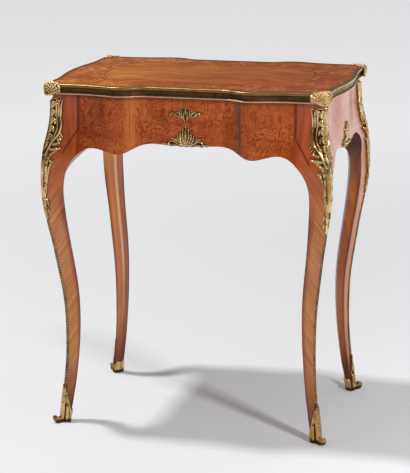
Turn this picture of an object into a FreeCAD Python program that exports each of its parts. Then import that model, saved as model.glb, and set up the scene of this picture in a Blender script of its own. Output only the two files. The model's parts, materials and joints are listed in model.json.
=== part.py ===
import FreeCAD, Part
import math
import os
from FreeCAD import Vector

# A ladies writing table with cabriole legs, one drawer, a marquetry top and gilt bronze mounts.
# Millimetres, +Z up, origin on the floor under the middle of the table, front towards -Y.
# Every corner is built once in the +X +Y quadrant, where x and y grow outwards, and then mirrored.

# Driving dimensions
TOP_Z = 750.0              # writing surface above the floor
MOULDING_H = 21.0          # height of the brass edge moulding
VENEER_T = 1.5             # thickness of the top's veneers
STILE_X = 290.0            # half the width over the stiles
STILE_Y = 194.0            # half the depth over the stiles
STILE_W = 53.0             # width of a stile
LIP = 13.0                 # how far the moulding's lip stands out over the frieze
BOARD_OVER = 4.0           # how far the top board stands out over the frieze
FRIEZE_Z = TOP_Z - MOULDING_H
STILE_IN_X = STILE_X - STILE_W
STILE_IN_Y = STILE_Y - STILE_W

# Plan of the front and back: flat middle, hollow, swelling block, hollow, stile
PEAK_X = 143.0             # middle of a block
PEAK_Y = 209.0
HOLLOW_R = 60.0            # hollow beside the drawer
BLOCK_R = 60.0             # crown of the block
S_TURN = math.radians(33.0)
SIDE_X = 301.0             # middle of the bowed sides
SIDE_R = 550.0

# Side view of a leg: how far its arris stands out from the stile, and its inner line, by height
LEG_BASE = 3.0
ARRIS = [(0, -1), (45, -5.5), (85, -9), (133, -13), (208, -15), (297, -10.5), (352, -3), (402, 4),
         (446, 11.5), (493, 18), (550, 20), (610, 14), (660, 3.5), (692, 0.4), (FRIEZE_Z, 0)]
SHANK = [(0, 24), (85, 33), (163, 41), (230, 44.5), (307, 43), (404, 32.5), (498, 24.5), (528, 24),
         (560, 29), (585, 41), (599, STILE_W)]
KNEE_Z = SHANK[-1][0]      # square stile above, shaped shank below
SHANK_LEVELS = [LEG_BASE, 22, 45, 65, 85, 110, 133, 163, 195, 230, 265, 297, 330, 365, 402, 425, 446, 470,
                493, 515, 530, 545, 560, 572, 585, 592, KNEE_Z]
KITE_Z = 545.0             # the shank's section goes over from a square to a kite down to this height
KITE_TURN = 0.17           # side corners of the kite lie back from the arris by this share of its width
KITE_INNER = 0.78          # place of its inner corner, as a share of the width
INNER_ARRIS_R = 5.0        # rounding of the corner under the table

# Lower edge of the frieze, half of the front and half of a side
FRONT_EDGE = [(0, 627), (40, 627.5), (76, 629), (100, 624), (120, 614), (139, 607), (170, 611.5),
              (205, 617), (225, 609.5), (STILE_IN_X, 599)]
SIDE_EDGE = [(0, 606), (50, 611), (95, 618), (125, 610), (STILE_IN_Y, 599)]

# Carcass timber
APRON_IN_Y = 172.0         # inner plane of the front blocks and back apron
APRON_IN_X = 268.0         # inner plane of the side aprons
TENON = (8.0, 20.0, 640.0, 715.0)  # thickness, length, bottom and top
FRONT_TENON_IN = 4.0       # from the inner plane of a member to its tenon
SIDE_TENON_IN = 6.0
CHEEK_IN = 119.0
CHEEK_T = 16.0
HOUSING = 6.0              # depth of the rails' housings in the cheeks
RAIL_T = 12.0
RAIL_W = 26.0
RAIL_SET_BACK = 10.5       # from the drawer front's inner face to the rails
RUNNER_Z = 639.5           # top of the runners
KICKER_Z = 715.5           # underside of the kickers
RUNNER_W = 12.0
RUNNER_T = 9.0
STOP_W = 10.0
STOP_H = 18.0
STOP_GAP = 0.5             # behind the closed drawer
BLOCK_SIZE = 18.0          # glued blocks under the top
BLOCK_L = 40.0
SIDE_BLOCK_Y = 50.0
BACK_BLOCK_X = 165.0
SCREW_R = 2.0
SCREW_HEAD_R = 4.0
SCREW_L = 30.0

# Drawer
DRAWER_HALF = 117.5        # half the width of the drawer front
DRAWER_GAP = 1.0           # shadow gap beside and over the drawer front
FRONT_IN_Y = 168.5         # inner face of the drawer front
SIDE_T = 9.0
SIDE_OUT = 116.5
DRAWER_LOW = 639.8
DRAWER_HIGH = 714.0
DRAWER_END = 150.0
BOTTOM_Z = 645.0
BOTTOM_T = 5.0
GROOVE = 4.0
TAIL_L = 12.0              # dovetails
TAIL_COUNT = 3
TAIL_ROOT = 0.28           # half a tail's height at its root and tip, as shares of the pitch
TAIL_TIP = 0.38
BACK_DROP = 2.0            # the drawer's back stands lower than its sides

# Lock
LOCK_W = 56.0
LOCK_LOW = 674.0
LOCK_HIGH = 727.5
LOCK_D = 11.5
LOCK_IN = 3.0              # let into the drawer front
LOCK_FLOOR = 3.0
LOCK_SCREW_R = 1.3
LOCK_SCREW_HEAD_R = 2.6
LOCK_SCREW_HEAD_H = 2.0
LOCK_SCREW_IN = 6.0        # places of the screws from the lock's edges
LOCK_SCREW_UP = 7.0
LOCK_SCREW_DOWN = 9.0
LOCK_SCREW_BITE = 5.0
KEY_Z = 688.0
KEY_PIN_R = 2.0
KEY_BIT_W = 2.2
KEY_BIT_L = 7.0
BOLT_W = 18.0
BOLT_D = 7.0
BOLT_H = 20.0
BOLT_TOP = 727.0           # drawn back in the lock
BOLT_GAP = 0.4
MORTISE_DEPTH = 10.0       # in the underside of the top, for the bolt
MORTISE_GAP = 2.0

# Bronzes
CHUTE_T = 3.2              # thickness of a casting over the wood
CHUTE_TOP = 717.0
TONGUE_END = 508.0
DROP_END = 459.0
SABOT_TIP = 84.0
BEAD_T = 1.6
BEAD_W = 3.2
BEAD_GAP = 2.0             # between a bead's ends and the castings
PIN_HEAD_R = 1.9
PIN_SHANK_R = 0.8
PIN_L = 13.0
MOUNT_TOP = TOP_Z + 4.0
MOUNT_LOW = FRIEZE_Z - 3.0

os.makedirs("parts", exist_ok=True)


def save(name, shape):
    shape.exportStep("parts/" + name + ".step")


def box(x0, x1, y0, y1, z0, z1):
    return Part.makeBox(x1 - x0, y1 - y0, z1 - z0, Vector(x0, y0, z0))


def mirror_x(shape):
    return shape.mirror(Vector(0, 0, 0), Vector(1, 0, 0))


def mirror_y(shape):
    return shape.mirror(Vector(0, 0, 0), Vector(0, 1, 0))


def corner_set(shape):
    """The four mirrored copies of a piece made in the +X +Y quadrant, by the name of their corner."""
    return {
        "back_right": shape,
        "back_left": mirror_x(shape),
        "front_right": mirror_y(shape),
        "front_left": mirror_x(mirror_y(shape)),
    }


def curve_over_height(pairs):
    """A smooth curve in the XZ plane through (height, x) pairs, with the height as its parameter."""
    line = Part.BSplineCurve()
    points = [Vector(x, 0, z) for z, x in pairs]
    line.interpolate(Points=points, Parameters=[float(z) for z, x in pairs])
    return line


def smooth_edge(points):
    line = Part.BSplineCurve()
    line.interpolate(points)
    return line.toShape()


def lines(points):
    return [Part.makeLine(a, b) for a, b in zip(points, points[1:])]


def face(edges):
    return Part.Face(Part.Wire(Part.__sortEdges__(edges)))


ARRIS_CURVE = curve_over_height(ARRIS)
SHANK_CURVE = curve_over_height(SHANK)


def flare(z):
    """How far the arris of the leg stands out from the stile at a height."""
    return ARRIS_CURVE.value(z).x


def part_of_curve(pairs, low, high):
    """Edge of the curve through the pairs, between two heights."""
    return curve_over_height(pairs).toShape(float(low), float(high))


def end_points(edge):
    return edge.valueAt(edge.FirstParameter), edge.valueAt(edge.LastParameter)


SAW_REACH = 400.0          # a saw cut goes through the whole blank
SAW_DROP = 60.0


def sawn(front_face):
    """The solid left when one outline, drawn in XZ, is sawn through a blank from the front and the side."""
    through = front_face.extrude(Vector(0, SAW_REACH, 0))
    turned = front_face.copy()
    turned.rotate(Vector(0, 0, 0), Vector(0, 0, 1), 90)
    turned.translate(Vector(0, STILE_Y - STILE_X, 0))
    across = turned.extrude(Vector(SAW_REACH, 0, 0))
    return through.common(across)


def outline_between(outer, inner):
    """Closed face between two curves over the same heights, in the XZ plane."""
    outer_low, outer_high = end_points(outer)
    inner_low, inner_high = end_points(inner)
    return face([outer, inner] + lines([outer_low, inner_low]) + lines([outer_high, inner_high]))


def kite_share(z):
    """How far the section of a leg has gone over from the square of the stile to a kite, from 0 to 1."""
    share = min(max((KNEE_Z - z) / (KNEE_Z - KITE_Z), 0), 1)
    return share * share * (3 - 2 * share)


def kite(z):
    """Corners of a leg's section as distances in from its arris: arris, side, inner corner, other side."""
    width = flare(z) + SHANK_CURVE.value(z).x
    turn = width * KITE_TURN * kite_share(z)
    inner = width * (1 - (1 - KITE_INNER) * kite_share(z))
    return [Vector(0, 0, 0), Vector(width, turn, 0), Vector(inner, inner, 0), Vector(turn, width, 0)]


def grown(corners, by):
    """The corners of a section whose sides have all been moved out by one distance."""
    moved = []
    for before, here, after in zip(corners[-1:] + corners[:-1], corners, corners[1:] + corners[:1]):
        come = (here - before).normalize()
        leave = (after - here).normalize()
        first = Vector(come.y, -come.x, 0)
        second = Vector(leave.y, -leave.x, 0)
        moved.append(here + (first + second) * (by / (1 + first.dot(second))))
    return moved


def in_from_arris(place, z):
    """Point that lies in from the leg's arris at a height, in the +X +Y quadrant."""
    reach = flare(z)
    return Vector(STILE_X + reach - place.x, STILE_Y + reach - place.y, z)


def shank_section(z, by=0.0):
    """Plan of a shank at one height, its inner corner rounded; by is how far it is grown all round."""
    arris, side, inner, other = grown(kite(z), by)
    to_side = (side - inner).normalize()
    to_other = (other - inner).normalize()
    half = to_side.getAngle(to_other) / 2
    radius = INNER_ARRIS_R + by
    start = inner + to_side * (radius / math.tan(half))
    finish = inner + to_other * (radius / math.tan(half))
    middle = inner + (to_side + to_other).normalize() * (radius / math.sin(half) - radius)
    arris, side, start, middle, finish, other = [
        in_from_arris(place, z) for place in (arris, side, start, middle, finish, other)]
    straight = lines([finish, other, arris, side, start])
    return Part.Wire([Part.Arc(start, middle, finish).toShape()] + straight)


def leg_blank():
    """A leg before its joints are cut: the sawn stile, and the shank shaped from a square to a kite."""
    outer = part_of_curve([(z, STILE_X + e) for z, e in ARRIS], KNEE_Z, FRIEZE_Z)
    inner = Part.makeLine(Vector(STILE_IN_X, 0, KNEE_Z), Vector(STILE_IN_X, 0, FRIEZE_Z))
    stile = sawn(outline_between(outer, inner))
    shank = Part.makeLoft([shank_section(z) for z in SHANK_LEVELS], True, False)
    return stile.fuse(shank).removeSplitter()


LEG_BLANK = leg_blank()


# Tenons of the front and back members, and of the side members, in the +X +Y quadrant
def front_tenon():
    thick, length, low, high = TENON
    tenon_y = APRON_IN_Y + FRONT_TENON_IN
    return box(STILE_IN_X, STILE_IN_X + length, tenon_y, tenon_y + thick, low, high)


def side_tenon():
    thick, length, low, high = TENON
    tenon_x = APRON_IN_X + SIDE_TENON_IN
    return box(tenon_x, tenon_x + thick, STILE_IN_Y, STILE_IN_Y + length, low, high)


def make_leg():
    return LEG_BLANK.cut(front_tenon()).cut(side_tenon())


# Plan lines of the front, drawn outwards, at any distance from the frieze
def front_plan(offset):
    """Edges of one half of the front, from the middle to the stile, as tangent lines and arcs."""
    run = (HOLLOW_R + BLOCK_R) * math.sin(S_TURN)
    rise = (HOLLOW_R + BLOCK_R) * (1 - math.cos(S_TURN))
    flat_x = PEAK_X - run
    flat_y = PEAK_Y - rise
    fall = PEAK_Y - STILE_Y
    ear_run = STILE_IN_X - PEAK_X
    ear_turn = 2 * math.atan(fall / ear_run)
    ear_r = ear_run / math.sin(ear_turn) - BLOCK_R

    def hollow(centre_x, base_y, radius, turn):
        r = radius - offset
        return Vector(centre_x + r * math.sin(turn), base_y + radius - r * math.cos(turn), 0)

    def crown(turn):
        r = BLOCK_R + offset
        return Vector(PEAK_X + r * math.sin(turn), PEAK_Y - BLOCK_R + r * math.cos(turn), 0)

    middle = Vector(0, flat_y + offset, 0)
    edges = [Part.makeLine(middle, hollow(flat_x, flat_y, HOLLOW_R, 0))]
    edges.append(Part.Arc(hollow(flat_x, flat_y, HOLLOW_R, 0), hollow(flat_x, flat_y, HOLLOW_R, S_TURN / 2),
                          hollow(flat_x, flat_y, HOLLOW_R, S_TURN)).toShape())
    edges.append(Part.Arc(crown(-S_TURN), crown(0), crown(ear_turn)).toShape())
    edges.append(Part.Arc(hollow(STILE_IN_X, STILE_Y, ear_r, -ear_turn),
                          hollow(STILE_IN_X, STILE_Y, ear_r, -ear_turn / 2),
                          hollow(STILE_IN_X, STILE_Y, ear_r, 0)).toShape())
    edges.append(Part.makeLine(hollow(STILE_IN_X, STILE_Y, ear_r, 0),
                               Vector(STILE_X + offset, STILE_Y + offset, 0)))
    return edges


def side_plan(offset):
    """Edges of one half of a side, from the stile's corner to the middle of the bow."""
    turn = 2 * math.atan((SIDE_X - STILE_X) / STILE_IN_Y)
    hollow_r = STILE_IN_Y / math.sin(turn) - SIDE_R

    def bow(angle):
        r = SIDE_R + offset
        return Vector(SIDE_X - SIDE_R + r * math.cos(angle), r * math.sin(angle), 0)

    def hollow(angle):
        r = hollow_r - offset
        return Vector(STILE_X + hollow_r - r * math.cos(angle), STILE_IN_Y - r * math.sin(angle), 0)

    corner = Vector(STILE_X + offset, STILE_Y + offset, 0)
    edges = [Part.makeLine(corner, hollow(0))]
    edges.append(Part.Arc(hollow(0), hollow(turn / 2), hollow(turn)).toShape())
    edges.append(Part.Arc(bow(turn), bow(turn / 2), bow(0)).toShape())
    return edges


def plan_wire(offset):
    """The whole plan of the table as one closed wire."""
    quarter = front_plan(offset) + side_plan(offset)
    half = quarter + [mirror_x(edge) for edge in quarter]
    return Part.Wire(Part.__sortEdges__(half + [mirror_y(edge) for edge in half]))


def plan_slab(offset, low, high):
    slab = Part.Face(plan_wire(offset)).extrude(Vector(0, 0, high - low))
    slab.translate(Vector(0, 0, low))
    return slab


def under_front_edge():
    """The space under the front's lower edge, to be cut from what reaches down into it."""
    half = [Vector(x, 0, z) for x, z in FRONT_EDGE]
    whole = [Vector(-p.x, 0, p.z) for p in reversed(half[1:])] + half
    edge = smooth_edge(whole)
    low = whole[0].z - SAW_DROP
    rest = lines([whole[-1], Vector(whole[-1].x, 0, low), Vector(whole[0].x, 0, low), whole[0]])
    return face([edge] + rest).extrude(Vector(0, SAW_REACH, 0))


def under_side_edge():
    half = [Vector(0, y, z) for y, z in SIDE_EDGE]
    whole = [Vector(0, -p.y, p.z) for p in reversed(half[1:])] + half
    edge = smooth_edge(whole)
    low = whole[0].z - SAW_DROP
    rest = lines([whole[-1], Vector(0, whole[-1].y, low), Vector(0, whole[0].y, low), whole[0]])
    return face([edge] + rest).extrude(Vector(SAW_REACH, 0, 0))


FLARE_LEVELS = [590.0, 610.0, 630.0, 660.0, 692.0, FRIEZE_Z]


def s_curve(start, end, along):
    """A smooth S between two points whose tangents both lie along one direction."""
    reach = along * (end - start).dot(along) * 0.5
    curve = Part.BezierCurve()
    curve.setPoles([start, start + reach, end - reach, end])
    return curve.toShape()


def flared_block():
    """Outer part of a front block: its plan runs out to the leg's face, which swells downwards."""
    sections = []
    for z in FLARE_LEVELS:
        crown = Vector(PEAK_X, PEAK_Y, z)
        ear = Vector(STILE_IN_X, STILE_Y + flare(z), z)
        back = [ear, Vector(STILE_IN_X, APRON_IN_Y, z), Vector(PEAK_X, APRON_IN_Y, z), crown]
        sections.append(Part.Wire([s_curve(crown, ear, Vector(1, 0, 0))] + lines(back)))
    return Part.makeLoft(sections, True, False)


def straight_front(x0, x1, inner_y):
    """Upright part of the front between two places of its plan, down to the lowest edge."""
    low = FLARE_LEVELS[0]
    front = plan_slab(0, low, FRIEZE_Z)
    return front.common(box(x0, x1, inner_y, STILE_Y * 2, low, FRIEZE_Z))


def front_block():
    inner = straight_front(DRAWER_HALF + DRAWER_GAP, PEAK_X, APRON_IN_Y)
    whole = inner.fuse(flared_block()).removeSplitter()
    return whole.cut(under_front_edge()).fuse(front_tenon()).removeSplitter()


def make_back_apron():
    wing = flared_block()
    middle = straight_front(-PEAK_X, PEAK_X, APRON_IN_Y)
    whole = middle.multiFuse([wing, mirror_x(wing)]).removeSplitter()
    tenon = front_tenon()
    return whole.cut(under_front_edge()).multiFuse([tenon, mirror_x(tenon)]).removeSplitter()


def side_body():
    """A bowed side down to its lowest level, before its edge is sawn: it flares out to the legs' faces."""
    along = Vector(0, 1, 0)
    sections = []
    for z in FLARE_LEVELS:
        middle = Vector(SIDE_X, 0, z)
        far = Vector(STILE_X + flare(z), STILE_IN_Y, z)
        near = Vector(far.x, -STILE_IN_Y, z)
        bow = [s_curve(near, middle, along), s_curve(middle, far, along)]
        back = [far, Vector(APRON_IN_X, STILE_IN_Y, z), Vector(APRON_IN_X, -STILE_IN_Y, z), near]
        sections.append(Part.Wire(bow + lines(back)))
    return Part.makeLoft(sections, True, False)


def make_side_apron():
    tenon = side_tenon()
    return side_body().cut(under_side_edge()).multiFuse([tenon, mirror_y(tenon)]).removeSplitter()


# The brass edge moulding: lower lip, hollow and upper bead, by distance over the frieze and height
def moulding_profile():
    z = FRIEZE_Z
    d = BOARD_OVER

    def at(out, up):
        return Vector(d + out, 0, z + up)

    edges = [
        Part.makeLine(at(0, 0), at(7.2, 0)),
        Part.Arc(at(7.2, 0), at(8.2, 1.5), at(7.2, 3)).toShape(),
        Part.makeLine(at(7.2, 3), at(5.8, 3.6)),
        Part.Arc(at(5.8, 3.6), at(3.6, 9), at(6.4, 14.4)).toShape(),
        Part.Arc(at(6.4, 14.4), at(LIP - d, 18.2), at(5, 21.8)).toShape(),
        Part.makeLine(at(5, 21.8), at(0, 21.8)),
        Part.makeLine(at(0, 21.8), at(0, 0)),
    ]
    return Part.Wire(edges)


def carry_profile(profile, edge):
    """The profile carried along one line or arc of the plan, standing square to it on the outer side."""
    start = edge.valueAt(edge.FirstParameter)
    finish = edge.valueAt(edge.LastParameter)
    travel = edge.tangentAt(edge.FirstParameter)
    outward = Vector(-travel.y, travel.x, 0)
    if outward.dot(start) < 0:
        outward = outward * -1
    placed = profile.copy()
    placed.rotate(Vector(0, 0, 0), Vector(0, 0, 1), math.degrees(math.atan2(outward.y, outward.x)))
    placed.translate(start)
    section = Part.Face(placed)
    if isinstance(edge.Curve, Part.Line):
        return section.extrude(finish - start)
    centre = edge.Curve.Center
    turn = (start - centre).getAngle(finish - centre)
    if (start - centre).cross(finish - centre).z < 0:
        turn = -turn
    return section.revolve(centre, Vector(0, 0, 1), math.degrees(turn))


def mitre(half_x, half_y):
    """The wedge of plan that one side's moulding fills, up to the two mitres."""
    depth = 60.0
    inner = [Vector(half_x - depth, half_y - depth, 0), Vector(half_x + depth, half_y + depth, 0)]
    far = [Vector(-place.x, place.y, 0) for place in reversed(inner)]
    points = inner + far + inner[:1]
    wedge = Part.Face(Part.makePolygon(points)).extrude(Vector(0, 0, 2 * MOULDING_H))
    wedge.translate(Vector(0, 0, FRIEZE_Z - MOULDING_H / 2))
    return wedge


def moulding_run(edges):
    profile = moulding_profile()
    pieces = [carry_profile(profile, edge) for edge in edges]
    return pieces[0].multiFuse(pieces[1:]).removeSplitter()


def make_back_moulding():
    straight_end = front_plan(0)
    last = straight_end[-1]
    start, finish = end_points(last)
    straight_end[-1] = Part.makeLine(start, finish + Vector(LIP * 2, 0, 0))
    half = moulding_run(straight_end)
    whole = half.fuse(mirror_x(half)).removeSplitter()
    return whole.common(mitre(STILE_X, STILE_Y))


def make_right_moulding():
    edges = side_plan(0)
    start, finish = end_points(edges[0])
    edges[0] = Part.makeLine(start + Vector(0, LIP * 2, 0), finish)
    half = moulding_run(edges)
    whole = half.fuse(mirror_y(half)).removeSplitter()
    wedge = mitre(STILE_Y, STILE_X)
    wedge.rotate(Vector(0, 0, 0), Vector(0, 0, 1), -90)
    return whole.common(wedge)


# Veneers of the top: a lobed reserve, a line of stringing round it, and the border
RESERVE = [((76, 122), None), ((108, 129), (93, 124)), ((136, 136), (122, 134)),
           ((184, 126), (161, 133)), ((205, 106), (198, 118.5)), ((208, 78), (202.5, 92)),
           ((223, 38), (218.5, 59)), ((225, 0), (224.5, 19))]
STRINGING_W = 2.0


def reserve_wire():
    here = Vector(0, RESERVE[0][0][1], 0)
    edges = []
    for end, through in RESERVE:
        there = Vector(end[0], end[1], 0)
        if through is None:
            edges.append(Part.makeLine(here, there))
        else:
            edges.append(Part.Arc(here, Vector(through[0], through[1], 0), there).toShape())
        here = there
    half = edges + [mirror_x(edge) for edge in edges]
    return Part.Wire(Part.__sortEdges__(half + [mirror_y(edge) for edge in half]))


def veneer(wire):
    sheet = Part.Face(wire).extrude(Vector(0, 0, VENEER_T))
    sheet.translate(Vector(0, 0, TOP_Z - VENEER_T))
    return sheet


# Bronze castings that wrap the arris of a leg
CHUTE_WIDTH = [(TONGUE_END, 9.5), (524, 10.5), (540, 11.5), (556, 13.5), (572, 16.5), (582, 20),
               (592, 24.5), (602, 28.5), (612, 31), (630, 29.5), (645, 26.5), (660, 25.5), (680, 23),
               (700, 22), (CHUTE_TOP, 21)]
HUSK_RIB = [(712, 4.5), (690, 7.5), (660, 8), (640, 6)]
TONGUE_RIB = [(640, 6), (612, 8), (575, 6.5), (540, 5.5), (TONGUE_END - 4, 5)]
DROP_RIB = [(TONGUE_END - 4, 5), (495, 6.5), (480, 6), (466, 4), (DROP_END, 2.2)]
WRAP_SUNK = 1.5            # how far a wrap is drawn into the wood before the wood is cut from it


def on_face(z, back, out):
    """Place on the outer face of a leg, back from the arris and out from the wood, in from the arris."""
    turn = KITE_TURN * kite_share(z)
    along = Vector(1, turn, 0).normalize()
    return along * back + Vector(along.y, -along.x, 0) * out


def arris_wrap(widths, thick):
    """A shell over both outer faces of the leg along its arris, as wide as the widths say by height."""
    sections = []
    for z, width in widths:
        crest = grown(kite(z), thick)[0]
        wing = [on_face(z, width, thick), on_face(z, width, -WRAP_SUNK)]
        places = [crest] + wing + [Vector(2 * WRAP_SUNK, 2 * WRAP_SUNK, 0)]
        places += [Vector(place.y, place.x, 0) for place in reversed(wing)] + [crest]
        sections.append(Part.Wire(lines([in_from_arris(place, z) for place in places])))
    return Part.makeLoft(sections, True, False).cut(LEG_BLANK)


def on_arris(z, out=0.0):
    """Point on the leg's arris, or standing out from it on the diagonal."""
    reach = flare(z) + out / math.sqrt(2)
    return Vector(STILE_X + reach, STILE_Y + reach, z)


def arris_rib(stations):
    """A round rib along the arris through (height, radius) stations."""
    rings = []
    for z, radius in stations:
        slope = on_arris(z + 1) - on_arris(z - 1)
        rings.append(Part.Wire(Part.makeCircle(radius, on_arris(z), slope)))
    return Part.makeLoft(rings, True, False)


def make_chute():
    wrap = arris_wrap(CHUTE_WIDTH, CHUTE_T)
    husks = arris_rib(HUSK_RIB)
    tongue = arris_rib(TONGUE_RIB)
    drop = arris_rib(DROP_RIB)
    return wrap.multiFuse([husks, tongue, drop]).cut(LEG_BLANK)


def make_leg_bead():
    low = SABOT_TIP + BEAD_GAP
    high = DROP_END - BEAD_GAP
    heights = [low] + [z for z in SHANK_LEVELS if low + 5 < z < high - 5] + [high]
    return arris_wrap([(z, BEAD_W) for z in heights], BEAD_T)


# The sabot is a cast shoe that takes the foot of the leg, with a leaf up the arris and a curled toe
SABOT_WALL = 2.6
SABOT_TOP = 110.0          # the shoe is cast to this height, then cut to its rim
SABOT_RIM = [(-60, 22), (-40, 25), (-30, 28.5), (-23.5, 32), (-18.7, 40), (-15.5, 52), (-12.5, 66),
             (-7, SABOT_TIP), (4, 100), (16, 115)]
TOE_OUT = 13.0
TOE_Z = 11.0
TOE_R = 5.0
TOE_W = 13.0
TOE_ROOT = 4.0
TOE_NECK_Z = 17.0


def diagonal_solid(outline_face, width):
    """A face drawn in XZ about the foot's arris, set on the diagonal and given a width."""
    solid = outline_face.extrude(Vector(0, width, 0))
    solid.translate(Vector(0, -width / 2, 0))
    solid.rotate(Vector(0, 0, 0), Vector(0, 0, 1), 45)
    solid.translate(Vector(STILE_X + ARRIS[0][1], STILE_Y + ARRIS[0][1], 0))
    return solid


def make_sabot():
    levels = [0] + [z for z in SHANK_LEVELS if LEG_BASE < z <= SABOT_TOP]
    shell = Part.makeLoft([shank_section(z, SABOT_WALL) for z in levels], True, False).cut(LEG_BLANK)
    rim = smooth_edge([Vector(x, 0, z) for x, z in SABOT_RIM])
    low, high = end_points(rim)
    above = face([rim] + lines([high, Vector(low.x, 0, high.z), low]))
    shoe = shell.cut(diagonal_solid(above, SAW_REACH))
    return shoe.fuse(make_toe()).removeSplitter()


def make_toe():
    """The toe sweeps forward on the diagonal of the foot, curls up and rolls over on itself."""
    roll = Vector(TOE_OUT, 0, TOE_Z)
    back = Vector(-TOE_ROOT, 0, 0)
    neck = Vector(-TOE_ROOT, 0, TOE_NECK_Z)
    ball = Vector(TOE_OUT + TOE_R - TOE_Z, 0, 0)
    front = roll + Vector(TOE_R, 0, 0)
    behind = roll - Vector(TOE_R, 0, 0)
    sweep = Vector(1, 0, -1) * (TOE_Z * math.sqrt(0.5))
    edges = lines([neck, back, ball])
    edges.append(Part.Arc(ball, ball + Vector(0, 0, TOE_Z) + sweep, front).toShape())
    edges.append(Part.Arc(front, roll + Vector(0, 0, TOE_R), behind).toShape())
    edges.append(Part.Arc(behind, Vector(1.5, 0, TOE_Z + 1), neck).toShape())
    spur = diagonal_solid(face(edges), TOE_W - 2)
    eye = Part.Face(Part.Wire(Part.makeCircle(TOE_R - 1.2, roll, Vector(0, 1, 0))))
    return spur.fuse(diagonal_solid(eye, TOE_W)).cut(LEG_BLANK)


# The corner mount clasps the mitre of the moulding and laps over the top
CLASP_REACH = 36.0
CLASP_LAP = 8.0
CLASP_SWELLS = [(MOUNT_LOW, 1.0), (734.0, 3.4), (744.0, 4.0), (MOUNT_TOP, 1.2)]  # height, swell


def clasp_section(z, swell):
    """Plan of a corner mount at one height; swell is how far it stands over the moulding's lip."""
    out_x = STILE_X + LIP
    out_y = STILE_Y + LIP
    in_x = STILE_X - CLASP_LAP
    in_y = STILE_Y - CLASP_LAP
    a = Vector(out_x - CLASP_REACH, in_y + CLASP_LAP, z)
    b = Vector(out_x - CLASP_REACH, out_y + swell * 0.2, z)
    b_mid = Vector(out_x - CLASP_REACH / 2, out_y + swell, z)
    c = Vector(out_x - 4, out_y + swell * 0.6, z)
    corner = Vector(out_x + swell * 0.8, out_y + swell * 0.8, z)
    d = Vector(out_x + swell * 0.6, out_y - 4, z)
    d_mid = Vector(out_x + swell, out_y - CLASP_REACH / 2, z)
    e = Vector(out_x + swell * 0.2, out_y - CLASP_REACH, z)
    f = Vector(in_x + CLASP_LAP, out_y - CLASP_REACH, z)
    g = Vector(in_x, in_y, z)
    edges = [Part.makeLine(a, b), Part.Arc(b, b_mid, c).toShape(), Part.Arc(c, corner, d).toShape(),
             Part.Arc(d, d_mid, e).toShape(), Part.makeLine(e, f), Part.makeLine(f, g), Part.makeLine(g, a)]
    return Part.Wire(edges)


def make_corner_mount(fills):
    clasp = Part.makeLoft([clasp_section(z, swell) for z, swell in CLASP_SWELLS], True, False)
    for fill in fills:
        clasp = clasp.cut(fill)
    return clasp


# Flat castings on the drawer and the sides: half outlines from the top down, mirrored about the middle
ESCUTCHEON = [(0, 703), (7, 701), (12, 697), (20, 700), (30, 699), (34, 694), (27, 691), (19, 689),
              (12, 683), (6, 677), (0, 672)]
DRAWER_MOUNT = [(0, 665), (5, 657), (13, 650), (16, 640), (24, 635), (35, 637), (43, 631), (51, 625),
                (40, 624), (25, 622.5), (12, 624), (0, 628)]
SIDE_MOUNT = [(0, 659), (5, 648), (12, 638), (13.5, 628), (22, 621), (33, 620), (39, 614), (30, 609),
              (14, 610.5), (0, 608)]
PLATE_T = 3.0
DRAWER_MOUNT_T = 4.0


def plate(outline, place, thick):
    """A mirrored smooth outline given a thickness; place turns (across, height) into a point."""
    right = [place(a, z) for a, z in outline]
    left = [place(-a, z) for a, z in reversed(outline)]
    return face([smooth_edge(right), smooth_edge(left)]).extrude(thick)


def keyhole(thick_from, thick_to):
    hole = Part.makeCylinder(KEY_PIN_R, thick_to - thick_from, Vector(0, thick_from, KEY_Z), Vector(0, 1, 0))
    bit = box(-KEY_BIT_W / 2, KEY_BIT_W / 2, thick_from, thick_to, KEY_Z - KEY_BIT_L, KEY_Z)
    return hole.fuse(bit).removeSplitter()


FRONT_FLAT_Y = front_plan(0)[0].valueAt(0).y


def make_escutcheon():
    shield = plate(ESCUTCHEON, lambda a, z: Vector(a, -FRONT_FLAT_Y, z), Vector(0, -PLATE_T, 0))
    return shield.cut(keyhole(-FRONT_FLAT_Y - 10, -FRONT_FLAT_Y + 1))


def make_drawer_mount():
    return plate(DRAWER_MOUNT, lambda a, z: Vector(a, -FRONT_FLAT_Y, z), Vector(0, -DRAWER_MOUNT_T, 0))


def make_side_mount():
    let_in = 8.0
    cast = plate(SIDE_MOUNT, lambda a, z: Vector(SIDE_X - let_in, a, z), Vector(let_in + PLATE_T, 0, 0))
    return cast.cut(side_body())


# Drawer boards, joined with dovetails
def dovetails(x0, x1):
    """The tails of one drawer side, which run forward into the drawer front."""
    pitch = (DRAWER_HIGH - DRAWER_LOW) / TAIL_COUNT
    root = pitch * TAIL_ROOT
    tip = pitch * TAIL_TIP
    tails = []
    for index in range(TAIL_COUNT):
        middle = DRAWER_LOW + pitch * (index + 0.5)
        y0 = -FRONT_IN_Y
        y1 = -FRONT_IN_Y - TAIL_L
        points = [Vector(x0, y0, middle - root), Vector(x0, y1, middle - tip), Vector(x0, y1, middle + tip),
                  Vector(x0, y0, middle + root), Vector(x0, y0, middle - root)]
        tails.append(Part.Face(Part.makePolygon(points)).extrude(Vector(x1 - x0, 0, 0)))
    return Part.makeCompound(tails)


def drawer_bottom_sheet():
    reach = SIDE_OUT - SIDE_T + GROOVE
    return box(-reach, reach, -FRONT_IN_Y - GROOVE, DRAWER_END, BOTTOM_Z, BOTTOM_Z + BOTTOM_T)


def make_drawer_side():
    inner = SIDE_OUT - SIDE_T
    board = box(inner, SIDE_OUT, -FRONT_IN_Y, DRAWER_END, DRAWER_LOW, DRAWER_HIGH)
    return board.fuse(dovetails(inner, SIDE_OUT)).cut(drawer_bottom_sheet()).removeSplitter()


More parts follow.
